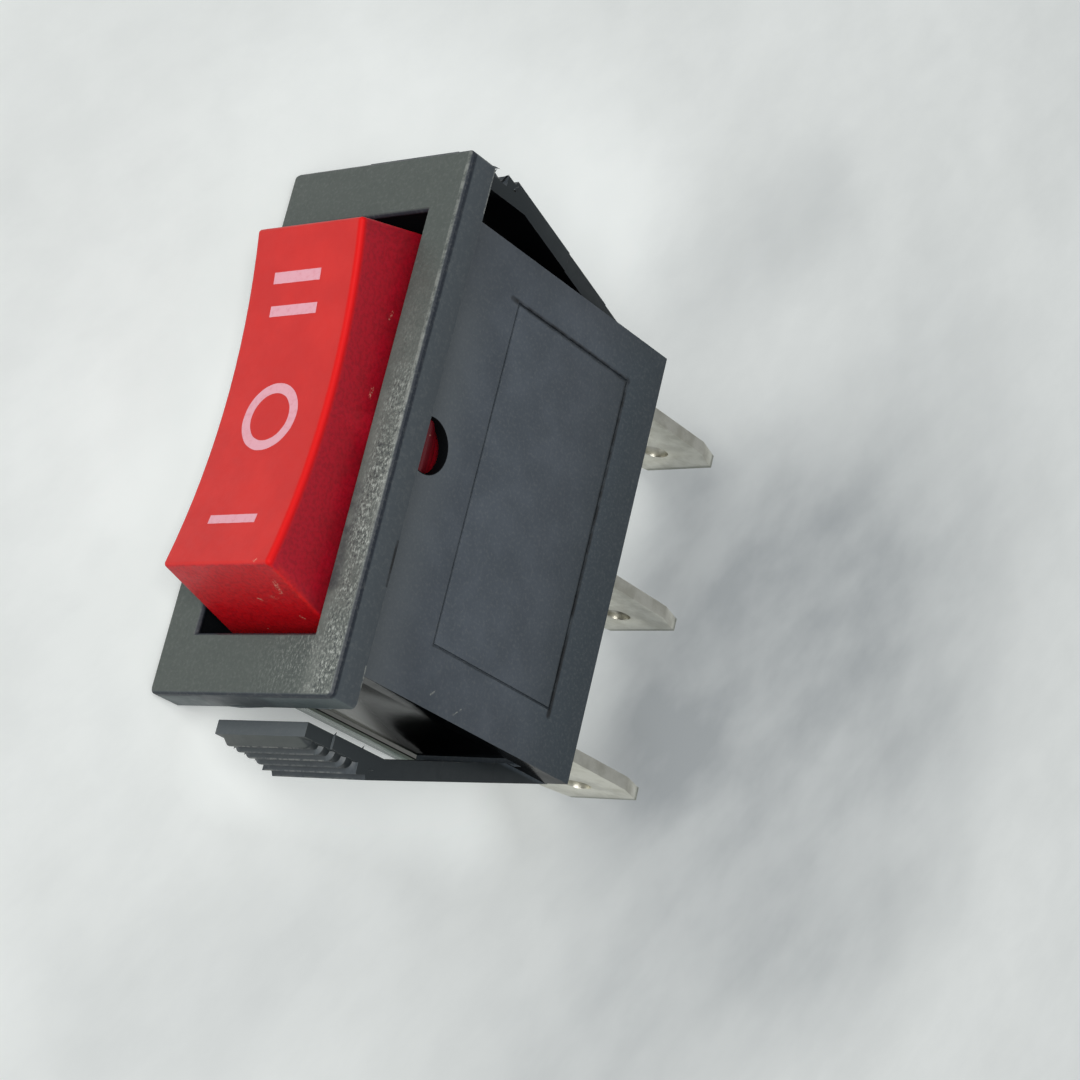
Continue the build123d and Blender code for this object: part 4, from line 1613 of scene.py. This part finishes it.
@dataclass
class Studio:
    """A plain pale sheet under the switch, soft light and the camera."""

    rest_front: tuple = (-6.7, 0.0)  # (x, z) where the flange touches the sheet, mm
    rest_rear: tuple = (-5.02, -19.5)  # (x, z) where the body touches it
    floor_size: float = 1.6  # m
    floor_gap: float = 0.01  # mm, under the switch
    lamps: tuple = (SoftLamp("window", (0.55, -0.20, 0.81), 0.6, 0.48, 3.4, (1.0, 0.995, 0.97)),)
    # patches of painted light on the sheet near the switch
    halos: tuple = (
        Shade((-3.4, -7.1), (9.9, -11.1), 26.5, 0.25),
        Shade((20.5, -12.7), (23.9, -19.4), 15.1, 0.16),
        Shade((-16.1, -4.6), (-13.6, -21.4), 7.2, 0.25),
        Shade((-6.4, -24.9), (6.6, -27.0), 9.8, 0.28),
    )
    # patches of painted shadow on the sheet, mostly beyond the blades
    shades: tuple = (
        Shade((1.9, -37.5), (12.3, -46.0), 12.1, 0.90),
        Shade((0.8, -42.1), (9.9, -53.1), 22.6, 0.86),
        Shade((-26.0, -38.0), (7.5, -56.6), 23.9, 0.46),
        Shade((-18.7, -35.8), (-5.2, -68.4), 7.5, 0.24),
        Shade((-4.6, -37.8), (10.6, -36.3), 6.2, 0.90),
        Shade((23.5, -31.0), (35.4, -41.8), 7.9, 0.28),
        Shade((28.5, -57.5), (25.1, -64.9), 17.5, 0.31),
        Shade((-33.4, -2.3), (-17.6, -22.6), 8.7, 0.21),
        Shade((11.2, -35.4), (-7.0, -36.6), 5.5, 0.90),
        Shade((-8.8, -46.8), (-11.7, -56.1), 13.9, 0.45),
    )
    view: Viewpoint = Viewpoint()

    def on_sheet(self, y: float, z: float) -> tuple:
        """A point of the sheet.

        Args:
            y: Its y, in millimetres.
            z: Its z.

        Returns:
            Its (x, y, z), in millimetres.
        """
        (front_x, front_z), (rear_x, rear_z) = self.rest_front, self.rest_rear
        slope = (front_x - rear_x) / (front_z - rear_z)
        return (rear_x + slope * (z - rear_z), y, z)

    def laid(self, shades: Sequence[Shade]) -> list:
        """Lay patches of painted shadow or painted light on the sheet.

        Args:
            shades: The patches.

        Returns:
            Start and end (x, y, z) in millimetres, width and strength of each.
        """
        return [(self.on_sheet(*s.start), self.on_sheet(*s.end), s.width, s.strength) for s in shades]

    def floor(self) -> bpy.types.Object:
        """Lay the pale sheet that the switch lies on.

        Returns:
            The floor.
        """
        front = Vector((self.rest_front[0], 0, self.rest_front[1])) * MM
        rear = Vector((self.rest_rear[0], 0, self.rest_rear[1])) * MM
        along = (front - rear).normalized()
        across = Vector((0, 1, 0))
        normal = across.cross(along)
        half = self.floor_size / 2
        bm = bmesh.new()
        turns = ((-1, -1), (1, -1), (1, 1), (-1, 1))
        corners = [rear + along * (a * half) + across * (b * half) for a, b in turns]
        face = bm.faces.new([bm.verts.new(corner - normal * self.floor_gap * MM) for corner in corners])
        face.normal_update()
        if face.normal.dot(normal) < 0:
            face.normal_flip()
        sheet = link_mesh("floor", bm)
        sheet.visible_diffuse = False
        sheet.visible_shadow = False
        dress(sheet, Paper().material(self.laid(self.shades), self.laid(self.halos)))
        return sheet

    def camera(self) -> None:
        """Set up the camera."""
        forward = Vector(self.view.forward).normalized()
        right = forward.cross(Vector(self.view.up)).normalized()
        turn = Matrix((right, right.cross(forward), -forward)).transposed()
        data = bpy.data.cameras.new("camera")
        data.sensor_width = self.view.sensor
        data.lens = self.view.lens
        data.clip_start = self.view.near
        data.clip_end = self.view.far
        camera = bpy.data.objects.new("camera", data)
        camera.matrix_world = Matrix.Translation(Vector(self.view.place) * MM) @ turn.to_4x4()
        bpy.context.scene.collection.objects.link(camera)
        bpy.context.scene.camera = camera

    def build(self) -> None:
        """Set up floor, lamps, surroundings, camera and colour handling."""
        bpy.context.scene.view_settings.view_transform = "Standard"
        self.floor()
        Surroundings().build()
        for lamp in self.lamps:
            lamp.hang()
        self.camera()


def main() -> None:
    """Build the switch and its stage."""
    logging.basicConfig(level=logging.INFO, format="%(name)s: %(message)s")
    Studio().build()
    for assembly in (Housing(), Rocker(), Terminals(), Works()):
        for piece in assembly.build():
            LOG.info("%s: %s, %d faces", type(assembly).__name__, piece.name, len(piece.data.polygons))


if __name__ == "__main__":
    main()
